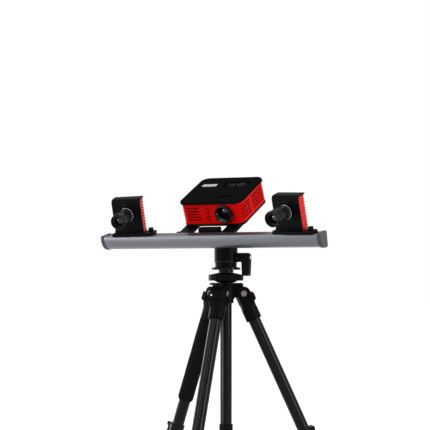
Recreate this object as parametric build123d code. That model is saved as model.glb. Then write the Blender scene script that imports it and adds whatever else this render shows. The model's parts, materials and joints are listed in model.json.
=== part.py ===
from build123d import *
import os
from math import asin, cos, degrees, radians, sin, tan

# Structured light scanner: a ribbed projector and two toed-in cameras on an
# aluminium beam, carried by a ball head on a three-legged stand.
# Millimetres and degrees. X runs along the beam, -Y is the side the lenses
# look to, Z is up. The origin is on the floor under the middle of the box
# that holds the whole object.

# Gaps and walls shared by many pieces
RUN_GAP = 0.3           # between pieces of bodies that move apart
PIN_FIT = 0.06          # radial running clearance of a pin in its bore
SEAT_GAP = 0.1          # between fixed pieces that slip into each other
EYE_GAP = 0.4           # each side of a tongue between two ears

# Stance of the object
HEAD_TILT = 12.5        # the beam looks down by this angle
PROJECTOR_TILT = 13.5   # the projector looks down this much more than the beam
CAMERA_LEAN = 6.0       # the camera cases look down this much more than the beam
CAMERA_TOE_IN = 9.0     # each camera is turned towards the middle
LEG_SPREAD = 24.5       # angle of each leg from the vertical
FIRST_LEG_AZIMUTH = -84.4

# Tripod
PIVOT_HEIGHT = 405.0    # leg hinge above the floor
PIVOT_RADIUS = 37.0     # leg hinge from the column axis
LEG_TUBE_RADIUS = 13.4
LEG_TUBE_WALL = 1.5
LEG_TUBE_LENGTH = 289.0
INNER_TUBE_RADIUS = 11.0
INNER_TUBE_WALL = 1.4
INNER_TUBE_LENGTH = 325.0
SOCKET_LENGTH = 62.0    # cast leg top, from hinge to the end of its socket
SOCKET_DEPTH = 16.0     # how far the leg tube goes into the socket
SOCKET_WALL = 4.2
EYE_RADIUS = 15.5
TONGUE_WIDTH = 17.0
EAR_THICKNESS = 7.0
LEG_PIN_RADIUS = 4.0
STOP_START = 3.5            # angle stop housing: below the hinge, along the leg
STOP_LENGTH = 19.0
STOP_PROUD = 4.5            # beyond the rim of the ears
STOP_OVERLAP = 7.0          # reaches back over the ears
STOP_OVERHANG = 3.0         # wider than the ears on each side
PIN_HEAD_RADIUS = 8.7
PIN_HEAD_THICKNESS = 1.8
LOCK_LENGTH = 34.0
LOCK_WALL = 3.0
LOCK_LEVER_LENGTH = 27.0
LOCK_LEVER_WIDTH = 17.0
LOCK_LEVER_THICKNESS = 5.0
LOCK_PIN_RADIUS = 2.0
LOCK_PIN_OUT = 3.4          # lever pin outside the lock ring
FOOT_RADIUS = 14.0
FOOT_LENGTH = 26.0
GRIP_RADIUS = 17.8
GRIP_LENGTH = 201.0

# Centre column and spider
COLUMN_RADIUS = 12.8
COLUMN_WALL = 1.6
COLUMN_LENGTH = 342.0
COLUMN_CAP_RADIUS = 15.0
COLUMN_CAP_HEIGHT = 18.0
HOOK_BORE_RADIUS = 5.0
NECK_RADIUS = 16.5
NECK_HEIGHT = 6.0
PLATFORM_RADIUS = 32.0
PLATFORM_HEIGHT = 5.5
SPIDER_PLATE_HEIGHT = 5.0
SPIDER_PLATE_RADIUS = 36.5
SPIDER_HUB_RADIUS = 19.0
SPIDER_TOP_ABOVE_PIVOT = 23.5
SLEEVE_RADIUS = 16.7
SLEEVE_BELOW_PIVOT = 21.0
COLLAR_HEIGHT = 22.0
COLLAR_RADIUS = 38.5
COLLAR_LOBES = 6
COLLAR_GROOVE_RADIUS = 6.0
COLLAR_GROOVE_DEPTH = 2.6
COLLAR_BAND = 13.5

# Ball head
PAN_BASE_RADIUS = 24.0
PAN_BASE_HEIGHT = 10.3
PAN_SPIGOT_RADIUS = 9.0
PAN_SPIGOT_HEIGHT = 5.0
HEAD_RADIUS = 25.5
HEAD_HEIGHT = 35.0
BALL_RADIUS = 18.0
BALL_BELOW_TOP = 8.0
NECK_PIN_RADIUS = 7.0
TOP_PLATE_RADIUS = 25.0
TOP_PLATE_HEIGHT = 7.0
TOP_PLATE_LIFT = 22.0   # underside of the top plate above the ball centre
LEVER_DROP = 16.0       # lever axis below the ball centre
LEVER_HUB_RADIUS = 10.0
LEVER_REACH = 60.0      # outer face of the lever from the head axis
LEVER_ARM_LENGTH = 40.5
LEVER_ARM_WIDTH = 20.0
LEVER_TIP_WIDTH = 16.0
LEVER_THICKNESS = 14.0
LEVER_STUD_RADIUS = 4.0

# Beam
BEAM_LENGTH = 515.0
BEAM_DEPTH = 37.0
BEAM_HEIGHT = 33.0
BEAM_WALL = 2.4
BEAM_NOSE_RADIUS = 26.0
BEAM_EDGE_RADIUS = 3.0
BEAM_BACK_OFFSET = 47.9     # head axis to the back face of the beam
BEAM_TOP_LIFT = 50.0        # ball centre to the top face of the beam
SLOT_WIDTH = 8.2
CHANNEL_WIDTH = 17.0
CHANNEL_HEIGHT = 6.0
CAP_THICKNESS = 7.5
CAP_LIP = 1.2
CAP_PLUG = 8.0

# Carrier behind the beam
CARRIER_THICKNESS = 6.0
CARRIER_WIDTH = 60.0
CARRIER_REAR = 27.0         # rear edge behind the head axis
FLANGE_WIDTH = 100.0
FLANGE_HEIGHT = 29.0
SCREW_RADIUS = 2.0
SCREW_HEAD_RADIUS = 3.5
SCREW_HEAD_HEIGHT = 3.0
SCREW_LENGTH = 14.0
SCREW_SPACING_X = 91.0
SCREW_SPACING_T = 18.0
TILT_BLOCK_LEFT = -41.0
TILT_BLOCK_RIGHT = 5.5
TILT_BLOCK_DEPTH = 15.0
TILT_BLOCK_RISE = 16.0      # top of the block above the tilt axis
TILT_PIVOT_BACK = 17.3      # tilt axis behind the beam's back face
TILT_PIVOT_DROP = 7.5       # tilt axis below the beam's top face
TILT_PIN_RADIUS = 4.0

# Projector, in a frame on its tilt axis: x, back along the floor, up
PROJECTOR_SHIFT = -21.5     # middle of the projector from the middle of the beam
PROJECTOR_FRONT = 28.0      # front face behind the tilt axis
SHELL_WIDTH = 147.0
SHELL_DEPTH = 136.0
SHELL_HEIGHT = 47.0
SHELL_WALL = 2.4
SHELL_CORNER = 16.0
RIB_COUNT = 7
RIB_GROOVE = 2.4            # height of the groove between two ribs
RIB_DEPTH = 1.5
COVER_OVERHANG = 3.0
TRAY_OVERHANG = 1.0
COVER_HEIGHT = 6.0
TRAY_HEIGHT = 6.0
TRAY_LIFT = 6.0             # tray underside above the tilt axis
ARM_WIDTH = 31.0
ARM_THICKNESS = 6.0
ARM_OUTER = 67.5
ARM_SHIFT = -8.5            # middle of the arms from the middle of the projector
ARM_LENGTH = 158.0
CROSS_PLATE_START = 64.0
KNUCKLE_RADIUS = 7.0
LENS_OFFSET = 32.0
LENS_LIFT = 24.0            # lens axis above the shell's lower edge
BEZEL_RADIUS = 20.3
BEZEL_PROUD = 8.0
BEZEL_DEPTH = 14.0
BEZEL_LIP = 2.4
FOCUS_RADIUS = 15.0
FOCUS_LENGTH = 42.0
GUIDE_RADIUS = 11.0         # nose of the optical block that the barrel turns on
GUIDE_LENGTH = 18.0
GLASS_RADIUS = 12.6
SLOT_HEIGHT = 2.6
FRONT_SLOTS = ((31.0, 30.5), (9.0, 67.0))     # length, middle from the left corner
SIDE_SLOTS = ((42.0, 29.0), (56.0, 88.0))     # length, middle behind the front face
ENGINE_WIDTH = 44.0
ENGINE_LENGTH = 50.0
ENGINE_HEIGHT = 42.0
LAMP_RADIUS = 15.0
LAMP_LENGTH = 60.0
BOARD_WIDTH = 94.0
BOARD_DEPTH = 26.0
KEYPAD_X = 27.0
KEYPAD_BACK = 95.0          # keypad middle behind the front face
KEYPAD_WIDTH = 62.0
KEYPAD_DEPTH = 32.0
KEYPAD_RECESS = 1.4
KEY_RADIUS = 4.6
KEY_TRAVEL = 0.8
KEY_STANDS = 1.2
KEY_COLLAR = 1.2
DIAL_X = 30.5
DIAL_BACK = 27.0
DIAL_WIDTH = 36.0
FAN_RADIUS = 19.0

# Cameras, in a frame on the swivel axis at the beam's top face
CAMERA_INSET = 62.5         # swivel axis from the end of the beam
CASE_WIDTH = 66.0
CASE_HEIGHT = 84.0
CASE_DEPTH = 28.0
CASE_WALL = 3.0
CASE_BEND = 9.0
CASE_FRONT = 12.0           # front face ahead of the swivel axis
BASE_THICKNESS = 6.0
BASE_FRONT = 22.0
BASE_BACK = 15.0
BASE_LEFT = 40.0            # base plate, to each side of the swivel axis
BASE_RIGHT = 55.0
BASE_CORNER = 5.0
KNOB_X = 46.0
SIDE_RIBS = 12
SIDE_THICKNESS = 3.4
SIDE_INSET = 3.0            # red sides end this far short of the back
SIDE_GROOVE = 2.8           # edge of the square groove cutter between two ribs
CAMERA_LENS_LIFT = 50.0
MOUNT_RING_RADIUS = 24.0
MOUNT_RING_PROUD = 3.0
REAR_BARREL_RADIUS = 14.5
REAR_BARREL_LENGTH = 24.0
IRIS_RADIUS = 15.6
IRIS_LENGTH = 9.0
FOCUS_RING_RADIUS = 17.0
FOCUS_RING_LENGTH = 26.0
FOCUS_RING_WALL = 2.4
FILTER_RADIUS = 15.25        # front seat for a 30.5 mm filter
FILTER_DEPTH = 4.0
LENS_GLASS_RADIUS = 11.0
CLAMP_STEM_RADIUS = 2.5
CLAMP_KNOB_RADIUS = 5.6
CLAMP_KNOB_HEIGHT = 8.0
SLIDER_LENGTH = 30.0
SLIDER_STUD_RADIUS = 4.0

# Levels and places that follow from the sizes above
SPIDER_TOP = PIVOT_HEIGHT + SPIDER_TOP_ABOVE_PIVOT
COLLAR_BASE = SPIDER_TOP + RUN_GAP
COLLAR_TOP = COLLAR_BASE + COLLAR_HEIGHT
NECK_BASE = COLLAR_TOP + RUN_GAP
PLATFORM_BASE = NECK_BASE + NECK_HEIGHT
PLATFORM_TOP = PLATFORM_BASE + PLATFORM_HEIGHT
HEAD_BASE = PLATFORM_TOP + PAN_BASE_HEIGHT + RUN_GAP
HEAD_TOP = HEAD_BASE + HEAD_HEIGHT
BALL_HEIGHT = HEAD_TOP - BALL_BELOW_TOP
LEVER_HEIGHT = BALL_HEIGHT - LEVER_DROP
LEG_AZIMUTHS = {
    "front": FIRST_LEG_AZIMUTH,
    "right": FIRST_LEG_AZIMUTH + 120,
    "left": FIRST_LEG_AZIMUTH + 240,
}
LEG_REACH = PIVOT_HEIGHT / cos(radians(LEG_SPREAD))
FOOT_CIRCLE = PIVOT_RADIUS + PIVOT_HEIGHT * tan(radians(LEG_SPREAD))
FEET_Y = [FOOT_CIRCLE * sin(radians(a)) for a in LEG_AZIMUTHS.values()]
COLUMN_Y = -(min(FEET_Y) + max(FEET_Y)) / 2
TUBE_START = SOCKET_LENGTH - SOCKET_DEPTH
TUBE_END = TUBE_START + LEG_TUBE_LENGTH
LOCK_START = TUBE_END - 8
LOCK_RADIUS = LEG_TUBE_RADIUS + LOCK_WALL
FOOT_START = LEG_REACH - FOOT_LENGTH + 6
INNER_TUBE_END = FOOT_START + 16

TRIPOD = Pos(0, COLUMN_Y, 0)
BALL = Pos(0, COLUMN_Y, BALL_HEIGHT)
BEAM_FRAME = BALL * Rot(HEAD_TILT, 0, 0)
BEAM_MID_S = -BEAM_BACK_OFFSET - BEAM_DEPTH / 2
BEAM_MID_T = BEAM_TOP_LIFT - BEAM_HEIGHT / 2
BEAM = BEAM_FRAME * Pos(0, BEAM_MID_S, BEAM_MID_T)
TILT_S = -BEAM_BACK_OFFSET + TILT_PIVOT_BACK
TILT_T = BEAM_TOP_LIFT - TILT_PIVOT_DROP
PROJECTOR = BEAM_FRAME * Pos(PROJECTOR_SHIFT, TILT_S, TILT_T) * Rot(PROJECTOR_TILT, 0, 0)
CARRIER_BASE = TOP_PLATE_LIFT + TOP_PLATE_HEIGHT
CAMERA_X = BEAM_LENGTH / 2 - CAMERA_INSET

parts = {}


def keep(name, *solids):
    """Note the solids of one sub-part under its node name."""
    parts[name] = solids[0] if len(solids) == 1 else Compound(children=list(solids))


def tube(outer, inner, length):
    """Round tube that stands on the XY plane."""
    return Cylinder(outer, length, align=BASE) - Cylinder(inner, length, align=BASE)


def rod_x(radius, length, at=(0, 0, 0)):
    """Cylinder along X, centred on a point."""
    return Pos(*at) * Rot(0, 90, 0) * Cylinder(radius, length)


def block(low, high):
    """Box between two corners."""
    size = [h - l for l, h in zip(low, high)]
    return Pos(*low) * Box(*size, align=(Align.MIN, Align.MIN, Align.MIN))


BASE = (Align.CENTER, Align.CENTER, Align.MIN)


# Beam section: flat top and back, a straight upper front and a large round nose
def beam_outline(grow=0.0):
    """Outline of the beam's section, grown outwards on every side."""
    half_d = BEAM_DEPTH / 2 + grow
    half_h = BEAM_HEIGHT / 2 + grow
    nose = BEAM_NOSE_RADIUS + grow
    straight = Polyline(
        (nose - half_d, -half_h), (half_d, -half_h), (half_d, half_h),
        (-half_d, half_h), (-half_d, nose - half_h))
    face = make_face([straight, CenterArc((nose - half_d, nose - half_h), nose, 180, 90)])
    corners = face.vertices().filter_by(lambda v: v.Y > half_h - 0.1 or v.X > half_d - 0.1)
    return Plane.YZ * fillet(corners, BEAM_EDGE_RADIUS + grow)


def beam_chamber(shrink=0.0):
    """Hollow of the beam under the channel."""
    half_d = BEAM_DEPTH / 2 - BEAM_WALL - shrink
    low = -BEAM_HEIGHT / 2 + BEAM_WALL + shrink
    high = BEAM_HEIGHT / 2 - 3 * BEAM_WALL - CHANNEL_HEIGHT - shrink
    nose = BEAM_NOSE_RADIUS - BEAM_WALL - shrink
    middle = (nose - half_d, nose + low)
    start = 180 + degrees(asin((middle[1] - high) / nose))
    arc = CenterArc(middle, nose, start, 270 - start)
    return Plane.YZ * make_face([arc, Polyline(arc @ 1, (half_d, low), (half_d, high), arc @ 0)])


def make_beam():
    """Extruded beam with a lengthwise clamping channel in its top face."""
    body = extrude(beam_outline(), BEAM_LENGTH / 2, both=True)
    body -= extrude(beam_chamber(), BEAM_LENGTH / 2, both=True)
    top = BEAM_HEIGHT / 2
    floor = top - BEAM_WALL - CHANNEL_HEIGHT
    body -= Pos(0, 0, top) * Box(BEAM_LENGTH, SLOT_WIDTH, 2 * BEAM_WALL + 1)
    body -= Pos(0, 0, floor) * Box(BEAM_LENGTH, CHANNEL_WIDTH, CHANNEL_HEIGHT, align=BASE)
    hole = Rot(90, 0, 0) * Cylinder(SCREW_RADIUS + SEAT_GAP, 2 * (SCREW_LENGTH - CARRIER_THICKNESS) + 1)
    for x, t in flange_screw_places():
        body -= Pos(x, BEAM_DEPTH / 2, t - BEAM_MID_T) * hole
    return body


def make_end_cap(side):
    """Moulded cap with a plug that fills the end of the beam's hollow."""
    plate = extrude(beam_outline(CAP_LIP), CAP_THICKNESS)
    rim = plate.faces().sort_by(Axis.X)[-1].edges()
    plate = fillet(rim, 2)
    plug = Pos(-CAP_PLUG, 0, 0) * extrude(beam_chamber(SEAT_GAP), CAP_PLUG + 1)
    cap = Pos(BEAM_LENGTH / 2, 0, 0) * (plate + plug)
    return cap if side > 0 else mirror(cap, Plane.YZ)


# Carrier: flange on the back of the beam, plate over the head, tilt block
def flange_screw_places():
    """Screw places of the flange: x and height in the beam frame."""
    mid = BEAM_TOP_LIFT - 1.6 - FLANGE_HEIGHT / 2
    half_x, half_t = SCREW_SPACING_X / 2, SCREW_SPACING_T / 2
    return [(x, mid + t) for x in (-half_x, half_x) for t in (-half_t, half_t)]


def make_carrier():
    """Bracket that joins the beam, the ball head and the projector's tilt axis."""
    back = -BEAM_BACK_OFFSET
    top = BEAM_TOP_LIFT - 1.6
    flange_back = back + CARRIER_THICKNESS
    body = block((-FLANGE_WIDTH / 2, back, top - FLANGE_HEIGHT), (FLANGE_WIDTH / 2, flange_back, top))
    body = fillet(body.edges().filter_by(Axis.Y), 4)
    half = CARRIER_WIDTH / 2
    plate = block((-half, back + 1, CARRIER_BASE), (half, CARRIER_REAR, CARRIER_BASE + CARRIER_THICKNESS))
    plate = fillet(plate.edges().filter_by(Axis.Z).group_by(Axis.Y)[-1], 12)
    body += plate
    block_back = TILT_S + TILT_BLOCK_DEPTH / 2
    low = (TILT_BLOCK_LEFT, flange_back - 1, CARRIER_BASE + 1)
    tilt_block = block(low, (TILT_BLOCK_RIGHT, block_back, TILT_T + TILT_BLOCK_RISE))
    tilt_block = fillet(tilt_block.edges().filter_by(Axis.X).group_by(Axis.Z)[-1], 5)
    body += tilt_block
    for x in (-half + 6, half - 6):
        rib = block((x - 2, flange_back - 1, CARRIER_BASE - 8), (x + 2, flange_back + 12, CARRIER_BASE + 1))
        lower = rib.edges().filter_by(Axis.X).group_by(Axis.Z)[0]
        body += chamfer(lower.sort_by(Axis.Y)[-1:], 7)
    body -= rod_x(TILT_PIN_RADIUS + SEAT_GAP, 200, (0, TILT_S, TILT_T))
    hole = Rot(90, 0, 0) * Cylinder(SCREW_RADIUS + SEAT_GAP, 30)
    for x, t in flange_screw_places():
        body -= Pos(x, back, t) * hole
    return body


def make_flange_screws():
    """Cap screws that hold the carrier to the beam."""
    screws = []
    for x, t in flange_screw_places():
        head = Cylinder(SCREW_HEAD_RADIUS, SCREW_HEAD_HEIGHT, align=BASE)
        head -= Pos(0, 0, SCREW_HEAD_HEIGHT - 1.6) * extrude(RegularPolygon(1.7, 6), 2)
        shank = Pos(0, 0, -SCREW_LENGTH) * Cylinder(SCREW_RADIUS, SCREW_LENGTH + 1, align=BASE)
        seat = -BEAM_BACK_OFFSET + CARRIER_THICKNESS
        screws.append(Pos(x, seat, t) * Rot(-90, 0, 0) * (head + shank))
    return screws


def make_tilt_pin():
    """Headed pin through the tilt block and both arms."""
    left = PROJECTOR_SHIFT + ARM_SHIFT - ARM_OUTER - 1
    right = PROJECTOR_SHIFT + ARM_SHIFT + ARM_OUTER + 1
    pin = rod_x(TILT_PIN_RADIUS, right - left, ((left + right) / 2, TILT_S, TILT_T))
    for x, out in ((left, -1), (right, 1)):
        head = rod_x(TILT_PIN_RADIUS + 2.5, 2.5, (x + out * 1.25, TILT_S, TILT_T))
        pin += fillet(head.faces().sort_by(Axis.X)[0 if out < 0 else -1].edges(), 1)
    return pin


# Projector
def rounded_plate(width, depth, height, corner, front):
    """Plate with rounded corners whose front edge is at a given depth."""
    sketch = RectangleRounded(width, depth, corner)
    return Pos(0, front + depth / 2, 0) * extrude(sketch, height)


def make_stand():
    """Two arms with knuckles on the tilt axis and a cross plate behind them."""
    half = ARM_THICKNESS / 2
    inner = ARM_OUTER - ARM_WIDTH
    low = (ARM_SHIFT - inner - 1, CROSS_PLATE_START, -half)
    body = block(low, (ARM_SHIFT + inner + 1, ARM_LENGTH, half))
    for side in (-1, 1):
        x = ARM_SHIFT + side * (ARM_OUTER - ARM_WIDTH / 2)
        left, right = x - ARM_WIDTH / 2, x + ARM_WIDTH / 2
        body += block((left, 0, -half), (right, ARM_LENGTH, half))
        body += rod_x(KNUCKLE_RADIUS, ARM_WIDTH, (x, 0, 0))
        for start in (PROJECTOR_FRONT + 8, ARM_LENGTH - 20):
            body += block((left + 4, start, 0), (right - 4, start + 16, TRAY_LIFT))
    body = body.clean()
    body -= rod_x(TILT_PIN_RADIUS + PIN_FIT, 4 * ARM_OUTER)
    corners = body.edges().filter_by(Axis.Z).group_by(Axis.Y)[-1]
    return fillet(corners, 8)


def make_tray():
    """Bottom moulding of the projector with a stepped rim."""
    width = SHELL_WIDTH + 2 * TRAY_OVERHANG
    depth = SHELL_DEPTH + 2 * TRAY_OVERHANG
    front = PROJECTOR_FRONT - TRAY_OVERHANG
    body = rounded_plate(width, depth, TRAY_HEIGHT, SHELL_CORNER + TRAY_OVERHANG, front)
    body = chamfer(body.faces().sort_by(Axis.Z)[0].edges(), 2.2)
    wall = 2 * SHELL_WALL
    hollow = rounded_plate(
        SHELL_WIDTH - 2 * wall, SHELL_DEPTH - 2 * wall, 4, SHELL_CORNER - wall, PROJECTOR_FRONT + wall)
    return Pos(0, 0, TRAY_LIFT) * (body - Pos(0, 0, TRAY_HEIGHT - 3) * hollow)


def rib_sections():
    """Outlines of the ribbed band from bottom to top, narrower in each groove."""
    pitch = SHELL_HEIGHT / RIB_COUNT
    levels = [(0, 0)]
    for i in range(1, RIB_COUNT):
        middle = i * pitch
        levels += [(middle - RIB_GROOVE / 2, 0), (middle, RIB_DEPTH), (middle + RIB_GROOVE / 2, 0)]
    levels.append((SHELL_HEIGHT, 0))
    place = Pos(0, PROJECTOR_FRONT + SHELL_DEPTH / 2, 0)
    return [
        place * Pos(0, 0, z) * RectangleRounded(
            SHELL_WIDTH - 2 * inset, SHELL_DEPTH - 2 * inset, SHELL_CORNER - inset)
        for z, inset in levels]


def make_shell():
    """Ribbed band around the projector."""
    outer = loft(rib_sections(), ruled=True)
    wall = SHELL_WALL + RIB_DEPTH
    width, depth = SHELL_WIDTH - 2 * wall, SHELL_DEPTH - 2 * wall
    inner = rounded_plate(width, depth, SHELL_HEIGHT, SHELL_CORNER - wall, PROJECTOR_FRONT + wall)
    return Pos(0, 0, TRAY_LIFT + TRAY_HEIGHT) * (outer - inner)


def cut_shell_slots(body):
    """Cut the front, side and lens openings into the ribbed band."""
    base = TRAY_LIFT + TRAY_HEIGHT
    pitch = SHELL_HEIGHT / RIB_COUNT
    through = 6 * (SHELL_WALL + RIB_DEPTH)
    for i in range(1, RIB_COUNT - 1):
        z = base + (i + 0.5) * pitch
        for length, middle in FRONT_SLOTS:
            body -= Pos(middle - SHELL_WIDTH / 2, PROJECTOR_FRONT, z) * Box(length, through, SLOT_HEIGHT)
        for length, middle in SIDE_SLOTS:
            slot = Box(SHELL_WIDTH + through, length, SLOT_HEIGHT)
            body -= Pos(0, PROJECTOR_FRONT + middle, z) * slot
    lens = Rot(90, 0, 0) * Cylinder(BEZEL_RADIUS - 2 + SEAT_GAP, 40)
    body -= Pos(LENS_OFFSET, PROJECTOR_FRONT, base + LENS_LIFT) * lens
    back = PROJECTOR_FRONT + SHELL_DEPTH
    body -= Pos(-20, back, base + 17) * Box(60, 20, 14)
    body -= Pos(48, back, base + 17) * Box(22, 20, 16)
    return body


def make_cover():
    """Top moulding with rounded edges, keypad recess and focus access."""
    width = SHELL_WIDTH + 2 * COVER_OVERHANG
    depth = SHELL_DEPTH + 2 * COVER_OVERHANG
    front = PROJECTOR_FRONT - COVER_OVERHANG
    body = rounded_plate(width, depth, COVER_HEIGHT, SHELL_CORNER + COVER_OVERHANG, front)
    body = fillet(body.faces().sort_by(Axis.Z)[-1].edges(), 3.0)
    keypad = RectangleRounded(KEYPAD_WIDTH, KEYPAD_DEPTH, 9)
    body -= Pos(KEYPAD_X, PROJECTOR_FRONT + KEYPAD_BACK, COVER_HEIGHT - KEYPAD_RECESS) * extrude(keypad, 4)
    for x, v in key_places():
        body -= Pos(x, v, 0) * Cylinder(KEY_RADIUS + RUN_GAP, 4 * COVER_HEIGHT)
    dial = SlotOverall(DIAL_WIDTH, 12)
    body -= Pos(DIAL_X, PROJECTOR_FRONT + DIAL_BACK, COVER_HEIGHT - 3.4) * extrude(dial, 6)
    return Pos(0, 0, TRAY_LIFT + TRAY_HEIGHT + SHELL_HEIGHT) * body


def key_places():
    """Middles of the two keys on the cover."""
    v = PROJECTOR_FRONT + KEYPAD_BACK
    return [(KEYPAD_X - 12, v), (KEYPAD_X + 12, v)]


def make_key(x, v):
    """Round key with a collar under the cover."""
    under = TRAY_LIFT + TRAY_HEIGHT + SHELL_HEIGHT - RUN_GAP
    height = COVER_HEIGHT - KEYPAD_RECESS + KEY_STANDS + RUN_GAP
    key = Cylinder(KEY_RADIUS, height, align=BASE)
    key = fillet(key.faces().sort_by(Axis.Z)[-1].edges(), 0.8)
    collar = Pos(0, 0, -KEY_COLLAR) * Cylinder(KEY_RADIUS + 1.5, KEY_COLLAR, align=BASE)
    return Pos(x, v, under) * (key + collar)


def lens_axis_place():
    """Point where the lens axis leaves the front face."""
    return Pos(LENS_OFFSET, PROJECTOR_FRONT, TRAY_LIFT + TRAY_HEIGHT + LENS_LIFT)


def make_bezel():
    """Dished ring around the projector lens."""
    profile = Polyline(
        (BEZEL_RADIUS - 2, -6), (BEZEL_RADIUS - 2, 0), (BEZEL_RADIUS, 0), (BEZEL_RADIUS, BEZEL_PROUD - 1),
        (BEZEL_RADIUS - 1, BEZEL_PROUD), (BEZEL_RADIUS - BEZEL_LIP, BEZEL_PROUD),
        (FOCUS_RADIUS + 1.5 + RUN_GAP, 0.5), (FOCUS_RADIUS + RUN_GAP, -6), close=True)
    ring = revolve(Plane.XZ * make_face(profile), Axis.Z)
    return lens_axis_place() * Rot(90, 0, 0) * ring


def make_focus_barrel():
    """Turning lens barrel with a stepped front."""
    profile = Polyline(
        (0, -FOCUS_LENGTH), (FOCUS_RADIUS, -FOCUS_LENGTH), (FOCUS_RADIUS, 1), (FOCUS_RADIUS - 0.8, 2),
        (GLASS_RADIUS + 0.6, 2), (GLASS_RADIUS + 0.1, -1.5), (GLASS_RADIUS + 0.1, -8), (0, -8), close=True)
    barrel = revolve(Plane.XZ * make_face(profile), Axis.Z)
    barrel -= Pos(0, 0, -FOCUS_LENGTH) * Cylinder(GUIDE_RADIUS + PIN_FIT, GUIDE_LENGTH + 2, align=BASE)
    return lens_axis_place() * Rot(90, 0, 0) * barrel


def dome_glass(radius, back, rise):
    """Glass element with a curved front, on the XY plane."""
    curve = (radius ** 2 + rise ** 2) / (2 * rise)
    disc = Pos(0, 0, back) * Cylinder(radius, 2 + rise, align=BASE)
    return disc & Pos(0, 0, back + 2 + rise - curve) * Sphere(curve)


def make_light_engine():
    """Optical block with a guide nose in line with the lens, and its lamp housing."""
    floor = TRAY_LIFT + TRAY_HEIGHT - 3
    front = PROJECTOR_FRONT + FOCUS_LENGTH + 4
    half = ENGINE_WIDTH / 2
    high = floor + ENGINE_HEIGHT
    body = block((LENS_OFFSET - half, front, floor), (LENS_OFFSET + half, front + ENGINE_LENGTH, high))
    body = chamfer(body.edges().filter_by(Axis.Z), 3)
    nose = Pos(0, 0, -FOCUS_LENGTH - 5) * Cylinder(GUIDE_RADIUS, GUIDE_LENGTH + 5, align=BASE)
    body += lens_axis_place() * Rot(90, 0, 0) * nose
    middle = front + ENGINE_LENGTH / 2
    end = LENS_OFFSET - half - LAMP_LENGTH + 10
    lamp = rod_x(LAMP_RADIUS, LAMP_LENGTH, (end + LAMP_LENGTH / 2, middle, floor + ENGINE_HEIGHT / 2))
    low = (end, middle - LAMP_RADIUS / 2, floor)
    saddle = block(low, (end + LAMP_LENGTH - 20, middle + LAMP_RADIUS / 2, floor + 10))
    return body + lamp + saddle


def make_board():
    """Main board with connector blocks at the rear wall."""
    floor = TRAY_LIFT + TRAY_HEIGHT - 3
    back = PROJECTOR_FRONT + SHELL_DEPTH - 2 * SHELL_WALL - 2
    left = -BOARD_WIDTH / 2 - 17
    body = block((left, back - BOARD_DEPTH, floor), (left + BOARD_WIDTH, back, floor + 1.6))
    for x, width in ((-40, 16), (-20, 14), (-2, 15)):
        body += block((x - width / 2, back - 12, floor + 1), (x + width / 2, back + 1, floor + 14))
    return body


def make_fan():
    """Fan rotor on a bracket, blowing out of the side slots: bracket and rotor."""
    floor = TRAY_LIFT + TRAY_HEIGHT - 3
    x = -SHELL_WIDTH / 2 + SHELL_WALL + 4
    v = PROJECTOR_FRONT + 36
    z = floor + FAN_RADIUS + 3
    hub = rod_x(7, 8, (x + 6, v, z))
    rotor = hub - rod_x(2 + PIN_FIT, 20, (x + 6, v, z))
    for i in range(7):
        blade = Pos(0, FAN_RADIUS / 2 + 2, 0) * Rot(0, 35, 0) * Box(1.2, FAN_RADIUS - 5, 8)
        rotor += Pos(x + 6, v, z) * Rot(i * 360 / 7, 0, 0) * blade
    half = FAN_RADIUS + 2
    frame = block((x + 12, v - half, floor), (x + 15, v + half, floor + 2 * FAN_RADIUS + 3))
    frame -= rod_x(FAN_RADIUS - 2, 20, (x + 13, v, z))
    frame += block((x + 12, v - FAN_RADIUS, z - 2.5), (x + 14, v + FAN_RADIUS, z + 2.5))
    frame += rod_x(2, 12, (x + 8, v, z))
    return frame, rotor


# Cameras
def slider_frame(side):
    """Frame on the beam's top face under one camera."""
    return BEAM_FRAME * Pos(side * CAMERA_X, BEAM_MID_S, BEAM_TOP_LIFT)


def camera_frame(side):
    """Frame of one camera on its swivel axis; side is -1 left, 1 right."""
    return slider_frame(side) * Rot(0, 0, -side * CAMERA_TOE_IN)


CASE_LEAN = Pos(0, 0, BASE_THICKNESS) * Rot(CAMERA_LEAN, 0, 0) * Pos(0, 0, -BASE_THICKNESS)


def make_slider():
    """Channel nut with the stud that the camera swivels on."""
    half = SLIDER_LENGTH / 2
    wide, narrow = CHANNEL_WIDTH / 2 - RUN_GAP, SLOT_WIDTH / 2 - RUN_GAP
    body = block((-half, -wide, -BEAM_WALL - CHANNEL_HEIGHT + RUN_GAP), (half, wide, -BEAM_WALL - RUN_GAP))
    body += block((-half, -narrow, -BEAM_WALL - 1), (half, narrow, -0.2))
    return body + Pos(0, 0, -1) * Cylinder(SLIDER_STUD_RADIUS, BASE_THICKNESS + 0.5, align=BASE)


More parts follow.
